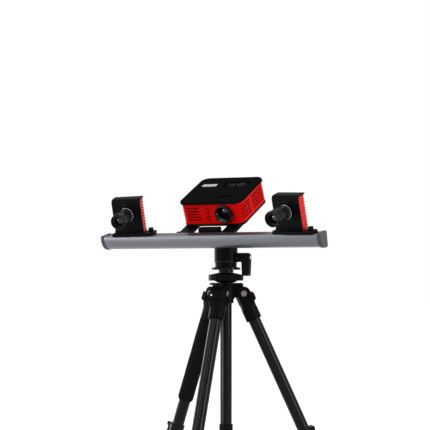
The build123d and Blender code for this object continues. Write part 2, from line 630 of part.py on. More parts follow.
def make_case():
    """Base plate, flared foot and the bent front and top cover."""
    half = CASE_WIDTH / 2
    top = CASE_HEIGHT - RUN_GAP
    face = -CASE_FRONT
    back = CASE_DEPTH - CASE_FRONT
    under, behind = top - CASE_WALL, face + CASE_WALL
    section = make_face(Polyline(
        (face, 0), (face, top), (back, top), (back, under), (behind, under), (behind, 0), close=True))
    section = fillet(section.vertices().sort_by_distance((face, top))[0], CASE_BEND)
    section = fillet(section.vertices().sort_by_distance((behind, under))[0], CASE_BEND - CASE_WALL)
    wrap = extrude(Plane.YZ * section, half, both=True)
    ring = Pos(0, -CASE_FRONT, CAMERA_LENS_LIFT) * Rot(90, 0, 0)
    wrap += ring * tube(MOUNT_RING_RADIUS, MOUNT_RING_RADIUS - 3.5, MOUNT_RING_PROUD)
    wrap -= ring * Cylinder(MOUNT_RING_RADIUS - 6, 20)
    wrap = CASE_LEAN * wrap
    wrap -= block((-100, -100, -50), (100, 100, 1))
    plate = RectangleRounded(BASE_LEFT + BASE_RIGHT, BASE_FRONT + BASE_BACK, BASE_CORNER)
    middle = Pos((BASE_RIGHT - BASE_LEFT) / 2, (BASE_BACK - BASE_FRONT) / 2, 0)
    base = middle * extrude(plate, BASE_THICKNESS)
    low, tip = (-BASE_FRONT, BASE_THICKNESS), (face + 0.2, BASE_THICKNESS + 14)
    flare = ThreePointArc(tip, (face - 2.4, BASE_THICKNESS + 5), low)
    under = BASE_THICKNESS - 1
    foot = make_face([flare, Polyline(low, (-BASE_FRONT, under), (face + 1, under), tip)])
    body = base + extrude(Plane.YZ * foot, half, both=True) + wrap
    body -= Cylinder(SLIDER_STUD_RADIUS + PIN_FIT, 40)
    body -= Pos(KNOB_X, 0, 0) * Cylinder(CLAMP_STEM_RADIUS + PIN_FIT, 40)
    return Pos(0, 0, RUN_GAP) * body


def under_case():
    """Cutter for everything below the top of the base plate."""
    return block((-100, -100, -50), (100, 100, BASE_THICKNESS + RUN_GAP + SEAT_GAP))


def make_sides():
    """The two ribbed side panels of one camera."""
    low = BASE_THICKNESS - 1
    high = CASE_HEIGHT - CASE_WALL - 1
    pitch = (high - low) / SIDE_RIBS
    panels = []
    for side in (-1, 1):
        outer = side * (CASE_WIDTH / 2 - 1)
        inner = outer - side * SIDE_THICKNESS
        front, back = -CASE_FRONT + CASE_WALL + SEAT_GAP, CASE_DEPTH - CASE_FRONT - SIDE_INSET
        panel = block((min(outer, inner), front, low), (max(outer, inner), back, high))
        corner = panel.edges().filter_by(Axis.X).group_by(Axis.Z)[-1].sort_by(Axis.Y)[0]
        panel = fillet(corner, CASE_BEND - CASE_WALL)
        for i in range(1, SIDE_RIBS):
            cutter = Rot(0, 45, 0) * Box(SIDE_GROOVE, 3 * CASE_DEPTH, SIDE_GROOVE)
            panel -= Pos(outer, 0, low + i * pitch) * cutter
        panels.append(CASE_LEAN * panel - under_case())
    return panels


def make_core():
    """Camera block between the side panels, with the rear cover and socket."""
    half = CASE_WIDTH / 2 - 1 - SIDE_THICKNESS - SEAT_GAP
    low = BASE_THICKNESS - 1
    high = CASE_HEIGHT - CASE_WALL - SEAT_GAP - RUN_GAP
    back = CASE_DEPTH - CASE_FRONT - 1
    body = block((-half, -CASE_FRONT + CASE_WALL + SEAT_GAP, low), (half, back, high))
    front = body.edges().filter_by(Axis.X).group_by(Axis.Z)[-1].sort_by(Axis.Y)[0]
    body = fillet(front, CASE_BEND - CASE_WALL)
    body -= Pos(0, back, low + 18) * Box(13, 8, 6)
    socket = Rot(90, 0, 0) * Cylinder(REAR_BARREL_RADIUS + SEAT_GAP, 16)
    body -= Pos(0, -CASE_FRONT, CAMERA_LENS_LIFT) * socket
    return CASE_LEAN * body - under_case()


def camera_lens_frame():
    """Frame of the lens: origin on the front face, Z out along the lens."""
    return CASE_LEAN * Pos(0, -CASE_FRONT, CAMERA_LENS_LIFT) * Rot(90, 0, 0)


def make_lens_barrel():
    """Fixed lens barrel: mount flange, iris ring and the tube the focus ring turns on."""
    front = REAR_BARREL_LENGTH + IRIS_LENGTH
    core = FOCUS_RING_RADIUS - FOCUS_RING_WALL - PIN_FIT
    profile = Polyline(
        (0, -4), (REAR_BARREL_RADIUS, -4), (REAR_BARREL_RADIUS, 6), (REAR_BARREL_RADIUS + 2, 8),
        (REAR_BARREL_RADIUS + 2, 12), (REAR_BARREL_RADIUS - 1, 14),
        (REAR_BARREL_RADIUS - 1, REAR_BARREL_LENGTH),
        (IRIS_RADIUS, REAR_BARREL_LENGTH + 0.6), (IRIS_RADIUS, front - 0.6), (core, front),
        (core, front + FOCUS_RING_LENGTH - 5), (LENS_GLASS_RADIUS + 0.1, front + FOCUS_RING_LENGTH - 5),
        (LENS_GLASS_RADIUS + 0.1, front + 12), (0, front + 12), close=True)
    return camera_lens_frame() * revolve(Plane.XZ * make_face(profile), Axis.Z)


def make_focus_ring():
    """Turning front ring with grip grooves."""
    start = REAR_BARREL_LENGTH + IRIS_LENGTH + RUN_GAP
    inner = FOCUS_RING_RADIUS - FOCUS_RING_WALL
    end = start + FOCUS_RING_LENGTH
    profile = Polyline(
        (inner, start), (FOCUS_RING_RADIUS - 0.6, start), (FOCUS_RING_RADIUS, start + 0.6),
        (FOCUS_RING_RADIUS, start + 9), (FOCUS_RING_RADIUS - 1.2, start + 10),
        (FOCUS_RING_RADIUS - 1.2, start + 13),
        (FOCUS_RING_RADIUS, start + 14), (FOCUS_RING_RADIUS, end - 0.6), (FOCUS_RING_RADIUS - 0.6, end),
        (FILTER_RADIUS, end), (FILTER_RADIUS, end - FILTER_DEPTH), (inner, end - FILTER_DEPTH), close=True)
    return camera_lens_frame() * revolve(Plane.XZ * make_face(profile), Axis.Z)


def make_lens_glass():
    """Front lens element."""
    start = REAR_BARREL_LENGTH + IRIS_LENGTH + 12
    return camera_lens_frame() * dome_glass(LENS_GLASS_RADIUS, start, 3.0)


def make_clamp_knob():
    """Thumb screw through the base plate."""
    stem = Pos(0, 0, RUN_GAP) * Cylinder(CLAMP_STEM_RADIUS, BASE_THICKNESS + 3, align=BASE)
    knob = Cylinder(CLAMP_KNOB_RADIUS, CLAMP_KNOB_HEIGHT, align=BASE)
    knob = fillet(knob.faces().sort_by(Axis.Z)[-1].edges(), 1.4)
    for i in range(10):
        flute = Pos(CLAMP_KNOB_RADIUS + 0.4, 0, 0) * Cylinder(0.9, CLAMP_KNOB_HEIGHT, align=BASE)
        knob -= Rot(0, 0, 36 * i) * flute
    return Pos(KNOB_X, 0, 0) * (stem + Pos(0, 0, BASE_THICKNESS + 2 * RUN_GAP) * knob)


# Ball head
def make_top_plate():
    """Round plate on the neck that rises from the ball."""
    body = Pos(0, 0, TOP_PLATE_LIFT) * Cylinder(TOP_PLATE_RADIUS, TOP_PLATE_HEIGHT, align=BASE)
    body = chamfer(body.edges().group_by(Axis.Z)[0], 2)
    height = TOP_PLATE_LIFT - BALL_RADIUS + 4
    neck = Pos(0, 0, BALL_RADIUS - 3) * Cylinder(NECK_PIN_RADIUS, height, align=BASE)
    return body + (neck - Sphere(BALL_RADIUS + RUN_GAP))


def make_ball():
    """The ball, flattened underneath."""
    return Sphere(BALL_RADIUS) - Pos(0, 0, -BALL_RADIUS) * Box(40, 40, 8)


def make_head_body():
    """Cylinder housing with the ball cup, a drop notch and the lever boss."""
    body = Pos(0, 0, HEAD_BASE) * Cylinder(HEAD_RADIUS, HEAD_HEIGHT, align=BASE)
    body = chamfer(body.edges().group_by(Axis.Z)[-1], 2.5)
    body -= Pos(0, 0, HEAD_BASE + 2) * (tube(HEAD_RADIUS + 2, HEAD_RADIUS - 1.2, 1.6))
    body -= Pos(0, 0, BALL_HEIGHT) * Sphere(BALL_RADIUS + RUN_GAP)
    body -= Pos(0, 0, BALL_HEIGHT) * Cylinder(BALL_RADIUS - 1.5, 30, align=BASE)
    socket = Cylinder(PAN_SPIGOT_RADIUS + PIN_FIT, PAN_SPIGOT_HEIGHT + 1.5, align=BASE)
    body -= Pos(0, 0, HEAD_BASE - 1) * socket
    body -= rod_x(LEVER_STUD_RADIUS + PIN_FIT, 12, (HEAD_RADIUS - 2, 0, LEVER_HEIGHT))
    return body


def make_clamp_lever():
    """L-shaped clamping lever with a rounded outer corner."""
    start = HEAD_RADIUS + RUN_GAP
    low = LEVER_HEIGHT - LEVER_ARM_LENGTH
    high, under = LEVER_HEIGHT + LEVER_HUB_RADIUS, LEVER_HEIGHT - LEVER_HUB_RADIUS
    tip = LEVER_REACH - 2.5
    outline = make_face(Polyline(
        (start + 10, high), (LEVER_REACH, high), (tip, low), (tip - LEVER_TIP_WIDTH, low),
        (LEVER_REACH - LEVER_ARM_WIDTH, under), (start + 10, under), close=True))
    outline = fillet(outline.vertices().sort_by_distance((LEVER_REACH, high))[0], 8)
    outline = fillet(outline.vertices().group_by(Axis.Y)[0], 2.5)
    arm = extrude(Plane.XZ * outline, LEVER_THICKNESS / 2, both=True)
    rims = arm.edges().filter_by(lambda e: abs(abs(e.center().Y) - LEVER_THICKNESS / 2) < 0.01)
    arm = fillet(rims, 1.5)
    hub = rod_x(LEVER_HUB_RADIUS, 12, (start + 6, 0, LEVER_HEIGHT))
    stud = rod_x(LEVER_STUD_RADIUS, 6, (start - 1.5, 0, LEVER_HEIGHT))
    return arm + hub + stud


def make_pan_base():
    """Fixed disc that the head turns on."""
    body = Pos(0, 0, PLATFORM_TOP) * Cylinder(PAN_BASE_RADIUS, PAN_BASE_HEIGHT, align=BASE)
    body -= Pos(0, 0, PLATFORM_TOP + 3) * tube(PAN_BASE_RADIUS + 1, PAN_BASE_RADIUS - 1, 1.2)
    return body + Pos(0, 0, HEAD_BASE - 1) * Cylinder(PAN_SPIGOT_RADIUS, PAN_SPIGOT_HEIGHT + 1, align=BASE)


# Tripod
def make_column():
    """Centre column: tube, flared neck and platform."""
    low = NECK_BASE - COLUMN_LENGTH + 10
    body = Pos(0, 0, low) * Cylinder(COLUMN_RADIUS, COLUMN_LENGTH, align=BASE)
    body += Pos(0, 0, NECK_BASE) * Cylinder(NECK_RADIUS, NECK_HEIGHT + 1, align=BASE)
    platform = Pos(0, 0, PLATFORM_BASE) * Cylinder(PLATFORM_RADIUS, PLATFORM_HEIGHT, align=BASE)
    body += chamfer(platform.edges().group_by(Axis.Z)[-1], 0.8)
    return body - Pos(0, 0, low) * Cylinder(COLUMN_RADIUS - COLUMN_WALL, COLUMN_LENGTH - 20, align=BASE)


def column_foot():
    """Height of the column's lower end."""
    return NECK_BASE - COLUMN_LENGTH + 10


def make_column_cap():
    """End cap of the column with a plug and a spare fixing bore."""
    top = column_foot()
    body = Pos(0, 0, top - COLUMN_CAP_HEIGHT) * Cylinder(COLUMN_CAP_RADIUS, COLUMN_CAP_HEIGHT, align=BASE)
    body = fillet(body.edges().group_by(Axis.Z)[0], 3)
    body += Pos(0, 0, top - 1) * Cylinder(COLUMN_RADIUS - COLUMN_WALL - SEAT_GAP, 11, align=BASE)
    return body - Pos(0, 0, top - COLUMN_CAP_HEIGHT) * Cylinder(HOOK_BORE_RADIUS, 12, align=BASE)


def make_collar():
    """Lobed clamping collar with sloped shoulders."""
    band_low = COLLAR_BASE + 4.5
    groove = COLLAR_RADIUS + COLLAR_GROOVE_RADIUS - COLLAR_GROOVE_DEPTH
    band = Pos(0, 0, band_low) * Cylinder(COLLAR_RADIUS, COLLAR_BAND, align=BASE)
    band = chamfer(band.edges(), 1)
    top = band_low + COLLAR_BAND
    inner = COLLAR_RADIUS - COLLAR_GROOVE_DEPTH - 1
    shoulder = Pos(0, 0, top) * Cone(inner, NECK_RADIUS, COLLAR_TOP - top, align=BASE)
    rise = band_low - COLLAR_BASE
    skirt = Pos(0, 0, COLLAR_BASE) * Cone(NECK_RADIUS + 1, inner - 9, rise, align=BASE)
    for i in range(COLLAR_LOBES):
        turn = Rot(0, 0, (i + 0.5) * 360 / COLLAR_LOBES) * Pos(groove, 0, band_low - 1)
        band -= turn * Cylinder(COLLAR_GROOVE_RADIUS, COLLAR_BAND + 2, align=BASE)
    body = band + shoulder + skirt
    bore = Cylinder(COLUMN_RADIUS + RUN_GAP, COLLAR_HEIGHT + 2, align=BASE)
    return body - Pos(0, 0, COLLAR_BASE - 1) * bore


def make_spider():
    """Leg carrier: round top plate, hub, sleeve and three tongues."""
    top = SPIDER_TOP
    plate = Cylinder(SPIDER_PLATE_RADIUS, SPIDER_PLATE_HEIGHT, align=BASE)
    plate = chamfer(plate.edges().group_by(Axis.Z)[0], 2.5)
    body = Pos(0, 0, top - SPIDER_PLATE_HEIGHT) * plate
    low = PIVOT_HEIGHT - SLEEVE_BELOW_PIVOT
    body += Pos(0, 0, low) * Cylinder(SLEEVE_RADIUS, top - low - 1, align=BASE)
    body += Pos(0, 0, PIVOT_HEIGHT - 12) * Cylinder(SPIDER_HUB_RADIUS, top - PIVOT_HEIGHT + 11, align=BASE)
    for azimuth in LEG_AZIMUTHS.values():
        eye = Pos(PIVOT_RADIUS, 0, PIVOT_HEIGHT) * Rot(90, 0, 0) * Cylinder(EYE_RADIUS - 3, TONGUE_WIDTH)
        web = block((10, -TONGUE_WIDTH / 2, PIVOT_HEIGHT - 9), (PIVOT_RADIUS, TONGUE_WIDTH / 2, top - 1))
        tongue = eye + web
        tongue -= Pos(PIVOT_RADIUS, 0, PIVOT_HEIGHT) * Rot(90, 0, 0) * Cylinder(LEG_PIN_RADIUS + SEAT_GAP, 40)
        body += Rot(0, 0, azimuth) * tongue
    return body - Pos(0, 0, low - 1) * Cylinder(COLUMN_RADIUS + RUN_GAP, top - low + 3, align=BASE)


def leg_frame(azimuth):
    """Frame of a leg on its hinge: Z down along the leg, X towards the column."""
    return Rot(0, 0, azimuth) * Pos(PIVOT_RADIUS, 0, PIVOT_HEIGHT) * Rot(0, 180 - LEG_SPREAD, 0)


def make_leg_pin():
    """Hinge pin with a round plain cap on each side."""
    half = TONGUE_WIDTH / 2 + EYE_GAP + EAR_THICKNESS
    pin = Cylinder(LEG_PIN_RADIUS, 2 * half + 0.5)
    for side in (-1, 1):
        middle = side * (half + PIN_HEAD_THICKNESS / 2 + 0.1)
        pin += Pos(0, 0, middle) * Cylinder(PIN_HEAD_RADIUS, PIN_HEAD_THICKNESS)
    return Rot(90, 0, 0) * pin


def make_leg_top():
    """Cast leg top: two ears, the angle stop housing and the tube socket."""
    inner = TONGUE_WIDTH / 2 + EYE_GAP
    outer = inner + EAR_THICKNESS
    socket_radius = LEG_TUBE_RADIUS + SOCKET_WALL
    neck_start = EYE_RADIUS + 7
    body = loft([
        Plane.XY.offset(neck_start) * RectangleRounded(2 * EYE_RADIUS + 0.8, 2 * outer + 0.8, 1),
        Plane.XY.offset(SOCKET_LENGTH - 22) * Circle(socket_radius),
    ])
    for side in (-1, 1):
        y = side * (inner + outer) / 2
        ear = Pos(0, y, 0) * Rot(90, 0, 0) * Cylinder(EYE_RADIUS, EAR_THICKNESS)
        near, far = sorted((side * inner, side * outer))
        body += ear + block((-EYE_RADIUS, near, 0), (EYE_RADIUS, far, neck_start + 0.5))
    body += Pos(0, 0, SOCKET_LENGTH - 22) * Cylinder(socket_radius, 22, align=BASE)
    socket = Cylinder(LEG_TUBE_RADIUS + SEAT_GAP, SOCKET_LENGTH, align=BASE)
    body -= Pos(0, 0, TUBE_START - SEAT_GAP) * socket
    body -= Rot(90, 0, 0) * Cylinder(LEG_PIN_RADIUS + PIN_FIT, 4 * outer)
    half = outer + STOP_OVERHANG
    low = (-EYE_RADIUS - STOP_PROUD, -half, STOP_START)
    housing = block(low, (-EYE_RADIUS + STOP_OVERLAP, half, STOP_START + STOP_LENGTH))
    housing = chamfer(housing.edges().filter_by(Axis.Y).group_by(Axis.X)[0], 1.5)
    housing -= block((-EYE_RADIUS, -inner, -20), (20, inner, neck_start))
    return body + housing


def make_leg_tube():
    """Upper leg tube with the fixed half of its flip lock."""
    body = Pos(0, 0, TUBE_START) * tube(LEG_TUBE_RADIUS, LEG_TUBE_RADIUS - LEG_TUBE_WALL, LEG_TUBE_LENGTH)
    lock = Pos(0, 0, LOCK_START) * Cylinder(LOCK_RADIUS, LOCK_LENGTH, align=BASE)
    half = LOCK_LEVER_WIDTH / 2
    ears = block((-LOCK_RADIUS - 6.5, -half - 4, LOCK_START + 2), (0, half + 4, LOCK_START + 12))
    ears -= block((-LOCK_RADIUS - 7, -half, LOCK_START), (-LOCK_RADIUS - 0.3, half, LOCK_START + 20))
    ears = fillet(ears.edges().filter_by(Axis.Y).group_by(Axis.X)[0], 3)
    lock = chamfer(lock.edges(), 1.5) + ears
    pin_place = Pos(-LOCK_RADIUS - LOCK_PIN_OUT, 0, LOCK_START + 7)
    lock -= pin_place * Rot(90, 0, 0) * Cylinder(LOCK_PIN_RADIUS + PIN_FIT, 40)
    lock -= Pos(0, 0, LOCK_START) * Cylinder(LEG_TUBE_RADIUS - 1, 8.5, align=BASE)
    lock -= Pos(0, 0, LOCK_START) * Cylinder(INNER_TUBE_RADIUS + RUN_GAP, LOCK_LENGTH, align=BASE)
    return body + lock


def make_lock_lever():
    """Flip lever on the outside of the lock."""
    x = -LOCK_RADIUS - LOCK_PIN_OUT
    half = LOCK_LEVER_WIDTH / 2 - RUN_GAP
    lever = Pos(x, 0, LOCK_START + 7) * Rot(90, 0, 0) * Cylinder(LOCK_PIN_RADIUS + 0.7, 2 * half)
    lever += block((x - 2.5, -half, LOCK_START + 7), (x + 1.2, half, LOCK_START + 1 + LOCK_LEVER_LENGTH))
    tip = LOCK_START + LOCK_LEVER_LENGTH
    lever += Pos(x - 1.2, 0, tip) * Rot(90, 0, 0) * Cylinder(3.2, 2 * half)
    pin = Rot(90, 0, 0) * Cylinder(LOCK_PIN_RADIUS, LOCK_LEVER_WIDTH + 7.4)
    return lever + Pos(x, 0, LOCK_START + 7) * pin


def make_inner_tube():
    """Lower leg section that slides in the upper tube."""
    length = INNER_TUBE_LENGTH
    bore = INNER_TUBE_RADIUS - INNER_TUBE_WALL
    return Pos(0, 0, INNER_TUBE_END - length) * tube(INNER_TUBE_RADIUS, bore, length)


def make_foot(azimuth):
    """Rubber foot, cut flat where it stands on the floor."""
    body = Pos(0, 0, FOOT_START) * Cylinder(FOOT_RADIUS, FOOT_LENGTH + 20, align=BASE)
    body = chamfer(body.edges().group_by(Axis.Z)[0], 2.5)
    depth = INNER_TUBE_END - FOOT_START + 1 + SEAT_GAP
    body -= Pos(0, 0, FOOT_START - 1) * Cylinder(INNER_TUBE_RADIUS + SEAT_GAP, depth, align=BASE)
    foot = leg_frame(azimuth) * body
    return foot - Pos(0, 0, -100) * Box(900, 900, 200)


def make_grip():
    """Foam grip around one leg tube."""
    body = tube(GRIP_RADIUS, LEG_TUBE_RADIUS + SEAT_GAP, GRIP_LENGTH)
    rims = body.edges().filter_by(GeomType.CIRCLE).filter_by(lambda e: abs(e.radius - GRIP_RADIUS) < 0.01)
    return Pos(0, 0, SOCKET_LENGTH + RUN_GAP) * chamfer(rims, 2)


def build_scanner():
    """Place the beam, the carrier, the projector and both cameras."""
    keep("beam", BEAM * make_beam())
    keep("end_caps", *[BEAM * make_end_cap(side) for side in (-1, 1)])
    keep("carrier", BEAM_FRAME * make_carrier())
    keep("flange_screws", *[BEAM_FRAME * s for s in make_flange_screws()])
    keep("tilt_pin", BEAM_FRAME * make_tilt_pin())
    keep("projector_stand", PROJECTOR * make_stand())
    keep("projector_tray", PROJECTOR * make_tray())
    keep("projector_shell", PROJECTOR * cut_shell_slots(make_shell()))
    keep("projector_cover", PROJECTOR * make_cover())
    keep("lens_bezel", PROJECTOR * make_bezel())
    keep("focus_barrel", PROJECTOR * make_focus_barrel())
    glass = lens_axis_place() * Rot(90, 0, 0) * dome_glass(GLASS_RADIUS, -7.9, 3.5)
    keep("projector_lens", PROJECTOR * glass)
    for name, place in zip(("power_key", "menu_key"), key_places()):
        keep(name, PROJECTOR * make_key(*place))
    keep("light_engine", PROJECTOR * make_light_engine())
    keep("main_board", PROJECTOR * make_board())
    frame, rotor = make_fan()
    keep("fan_frame", PROJECTOR * frame)
    keep("fan_rotor", PROJECTOR * rotor)
    for name, side in (("left", -1), ("right", 1)):
        place = camera_frame(side)
        keep(f"{name}_slider", slider_frame(side) * make_slider())
        keep(f"{name}_case", place * make_case())
        keep(f"{name}_side_panels", *[place * panel for panel in make_sides()])
        keep(f"{name}_camera", place * make_core())
        keep(f"{name}_lens_barrel", place * make_lens_barrel())
        keep(f"{name}_focus_ring", place * make_focus_ring())
        keep(f"{name}_lens_glass", place * make_lens_glass())
        keep(f"{name}_clamp_knob", place * make_clamp_knob())


def build_head():
    """Place the ball head."""
    keep("top_plate", BEAM_FRAME * make_top_plate())
    keep("ball", BALL * make_ball())
    keep("head_body", TRIPOD * make_head_body())
    keep("clamp_lever", TRIPOD * make_clamp_lever())
    keep("pan_base", TRIPOD * make_pan_base())


def build_tripod():
    """Place the column, the spider and the three legs."""
    keep("column", TRIPOD * make_column())
    keep("column_cap", TRIPOD * make_column_cap())
    keep("lock_collar", TRIPOD * make_collar())
    keep("spider", TRIPOD * make_spider())
    keep("leg_pins", *[TRIPOD * leg_frame(a) * make_leg_pin() for a in LEG_AZIMUTHS.values()])
    for name, azimuth in LEG_AZIMUTHS.items():
        place = TRIPOD * leg_frame(azimuth)
        keep(f"{name}_leg_top", place * make_leg_top())
        keep(f"{name}_leg_tube", place * make_leg_tube())
        keep(f"{name}_lock_lever", place * make_lock_lever())
        keep(f"{name}_inner_tube", place * make_inner_tube())
        keep(f"{name}_foot", TRIPOD * make_foot(azimuth))
    keep("foam_grip", TRIPOD * leg_frame(LEG_AZIMUTHS["left"]) * make_grip())


build_scanner()
build_head()
build_tripod()

os.makedirs("parts", exist_ok=True)
for name, shape in parts.items():
    export_step(shape, f"parts/{name}.step")
    print(name, round(shape.volume), "mm3")
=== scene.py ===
"""Looks of a structured light scanner on its tripod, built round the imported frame."""

import json
import logging
import math
from dataclasses import dataclass
from enum import Enum

import bmesh
import bpy
from mathutils import Matrix, Vector


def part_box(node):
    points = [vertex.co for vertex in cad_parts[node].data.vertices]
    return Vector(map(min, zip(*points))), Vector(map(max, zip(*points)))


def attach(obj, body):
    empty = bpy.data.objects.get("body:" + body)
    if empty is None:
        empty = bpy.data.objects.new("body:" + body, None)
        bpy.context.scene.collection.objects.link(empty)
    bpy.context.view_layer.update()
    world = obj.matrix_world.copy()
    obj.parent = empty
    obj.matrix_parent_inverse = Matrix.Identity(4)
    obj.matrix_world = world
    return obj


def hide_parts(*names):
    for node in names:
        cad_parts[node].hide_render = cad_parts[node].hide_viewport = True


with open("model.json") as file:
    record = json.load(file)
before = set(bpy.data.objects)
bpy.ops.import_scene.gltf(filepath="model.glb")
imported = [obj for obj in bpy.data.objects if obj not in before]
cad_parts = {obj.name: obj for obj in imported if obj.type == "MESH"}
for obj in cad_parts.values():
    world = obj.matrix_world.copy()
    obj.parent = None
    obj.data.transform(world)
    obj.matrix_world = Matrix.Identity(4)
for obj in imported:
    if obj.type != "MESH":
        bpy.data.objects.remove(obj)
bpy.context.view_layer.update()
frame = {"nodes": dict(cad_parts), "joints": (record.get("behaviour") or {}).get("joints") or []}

log = logging.getLogger("scanner")
JOINTS = {joint["name"]: joint for joint in frame["joints"]}
NODES = frame["nodes"]

Pair = tuple[float, float]
Point = tuple[float, float, float]
Shape = bmesh.types.BMesh

MERGE = 1e-6  # metres within which corners of a piece become one
LEVEL = 1e-7  # metres within which a corner lies in the top face
ROUGHNESS_SPREAD = (0.82, 1.18)  # least and most roughness, as shares of the middle one
MOTTLE_ENDS = (0.3, 0.7)  # noise levels of the darkest and the palest colour
RELIEF_STRENGTH = 0.6
DRAWN_STRETCH = (0.02, 1.0, 1.0)  # a drawn surface has its streaks along X
SCREW_EDGE = 0.12  # rounding of a screw head, as a share of its radius
SCREW_RIM = 0.42  # rim round the socket, as a share of the radius
SOCKET_TAPER = 0.02  # inward slope of the socket, as a share of the radius
SOCKET_DEPTH = 0.5  # as a share of the head's height


class Grain(Enum):
    """How a surface is broken up.

    Each value is the scale and detail of the noise in its colour and roughness, then of its relief.
    """

    MOULDED = ((60.0, 3.0), (2600.0, 2.0))
    PAINTED = ((45.0, 3.0), (1700.0, 2.0))
    DRAWN = ((900.0, 2.0), (2400.0, 1.0))
    FOAM = ((350.0, 4.0), (1100.0, 5.0))
    RUBBER = ((120.0, 3.0), (1500.0, 3.0))
    POLISHED = ((25.0, 2.0), (300.0, 1.0))


@dataclass(frozen=True)
class Finish:
    """One finish of the scanner.

    Args:
        name: material name.
        colour: linear base colour.
        roughness: middle roughness.
        grain: how the surface is broken up.
        metallic: 1 for bare metal.
        specular: strength of the surface reflection.
        mottle: how far the colour varies, as a share.
        bump: height of the grain in metres.
    """

    name: str
    colour: tuple[float, float, float]
    roughness: float
    grain: Grain = Grain.MOULDED
    metallic: float = 0.0
    specular: float = 0.5
    mottle: float = 0.08
    bump: float = 0.00002

    def material(self) -> bpy.types.Material:
        """Return the node material, made once for each finish."""
        known = bpy.data.materials.get(self.name)
        if known:
            return known
        made = bpy.data.materials.new(self.name)
        made.use_nodes = True
        tree = made.node_tree
        shader = tree.nodes["Principled BSDF"]
        shader.inputs["Metallic"].default_value = self.metallic
        shader.inputs["Specular IOR Level"].default_value = self.specular
        place = tree.nodes.new("ShaderNodeTexCoord")
        stretch = tree.nodes.new("ShaderNodeMapping")
        tree.links.new(place.outputs["Object"], stretch.inputs["Vector"])
        if self.grain is Grain.DRAWN:
            stretch.inputs["Scale"].default_value = DRAWN_STRETCH
        broad, fine = (self._noise(tree, stretch, *noise) for noise in self.grain.value)
        ramp = tree.nodes.new("ShaderNodeValToRGB")
        for element, position, share in zip(
                ramp.color_ramp.elements, MOTTLE_ENDS, (1 - self.mottle, 1 + self.mottle)):
            element.position = position
            element.color = (*(min(1.0, c * share) for c in self.colour), 1)
        least, most = ROUGHNESS_SPREAD
        rough = tree.nodes.new("ShaderNodeMapRange")
        rough.inputs["To Min"].default_value = self.roughness * least
        rough.inputs["To Max"].default_value = min(1.0, self.roughness * most)
        relief = tree.nodes.new("ShaderNodeBump")
        relief.inputs["Strength"].default_value = RELIEF_STRENGTH
        relief.inputs["Distance"].default_value = self.bump
        for source, result, target, setting in (
                (broad, "Fac", ramp, "Fac"), (ramp, "Color", shader, "Base Color"),
                (broad, "Fac", rough, "Value"), (rough, "Result", shader, "Roughness"),
                (fine, "Fac", relief, "Height"), (relief, "Normal", shader, "Normal")):
            tree.links.new(source.outputs[result], target.inputs[setting])
        return made

    @staticmethod
    def _noise(
            tree: bpy.types.NodeTree, stretch: bpy.types.Node, scale: float, detail: float) -> bpy.types.Node:
        """Return a noise node on the stretched object coordinates.

        Args:
            tree: node tree of the material.
            stretch: mapping node.
            scale: noise scale.
            detail: noise detail.

        Returns:
            The noise node.
        """
        noise = tree.nodes.new("ShaderNodeTexNoise")
        noise.inputs["Scale"].default_value = scale
        noise.inputs["Detail"].default_value = detail
        tree.links.new(stretch.outputs["Vector"], noise.inputs["Vector"])
        return noise


ANODISED = Finish(
    "satin_anodised_beam", (0.125, 0.133, 0.145), 0.36, Grain.DRAWN, metallic=0.85, bump=0.000006)
CAP_GREY = Finish("dark_grey_end_cap", (0.03, 0.032, 0.034), 0.45, specular=0.35)
BLACK_SATIN = Finish("satin_black_moulding", (0.005, 0.005, 0.0055), 0.45, specular=0.03)
COVER_BLACK = Finish("fine_grain_cover", (0.005, 0.0046, 0.005), 0.8, specular=0.008, bump=0.000003)
BLACK_PAINT = Finish(
    "black_powder_coat", (0.004, 0.0036, 0.0044), 0.5, Grain.PAINTED, specular=0.03, bump=0.00003)
BLACK_CAST = Finish(
    "black_cast_enamel", (0.003, 0.003, 0.0034), 0.38, Grain.PAINTED, specular=0.03, bump=0.00004)
BLACK_GLOSS = Finish(
    "black_tube_enamel", (0.003, 0.003, 0.0035), 0.2, Grain.PAINTED, specular=0.1, bump=0.000004)
BLACK_ANODISED = Finish(
    "black_anodised_lens", (0.005, 0.005, 0.0055), 0.25, Grain.PAINTED, specular=0.14, bump=0.000004)
DISH_GLOSS = Finish(
    "polished_black_dish", (0.004, 0.004, 0.004), 0.16, Grain.POLISHED, specular=0.35, bump=0.0)
# Painted shade: dull black without reflection, for sheets laid where recess edges and vent slots lie in
# shade.
SHADE_BLACK = Finish("painted_shade_black", (0.0015, 0.0015, 0.0015), 0.8, specular=0.0)
RED_SHELL = Finish("red_shell_plastic", (0.62, 0.003, 0.002), 0.42, specular=0.04, mottle=0.05)
RED_PANEL = Finish("red_panel_paint", (0.62, 0.02, 0.018), 0.36, Grain.PAINTED, specular=0.2, mottle=0.05)
STEEL = Finish("bright_steel", (0.5, 0.5, 0.51), 0.28, Grain.POLISHED, metallic=1.0)
DISC_METAL = Finish(
    "engraved_pivot_disc", (0.19, 0.145, 0.135), 0.42, Grain.POLISHED, metallic=0.5, specular=0.2)
GREY_METAL = Finish("grey_cast_metal", (0.12, 0.12, 0.125), 0.4, Grain.PAINTED, metallic=0.6)
DARK_METAL = Finish("blackened_engine_block", (0.012, 0.012, 0.013), 0.5, Grain.PAINTED, specular=0.1)
RUBBER = Finish("black_rubber", (0.008, 0.008, 0.008), 0.8, Grain.RUBBER, specular=0.08, bump=0.00008)
FOAM = Finish(
    "black_foam", (0.006, 0.006, 0.0062), 0.95, Grain.FOAM, specular=0.04, mottle=0.25, bump=0.0004)
BOARD = Finish("green_board", (0.01, 0.05, 0.022), 0.45, specular=0.2)
LENS = Finish("coated_lens", (0.004, 0.004, 0.008), 0.05, Grain.POLISHED, specular=0.35, bump=0.0)
PLATE = Finish("bare_pale_plate", (0.62, 0.6, 0.6), 0.4, Grain.PAINTED, specular=0.2, mottle=0.04)
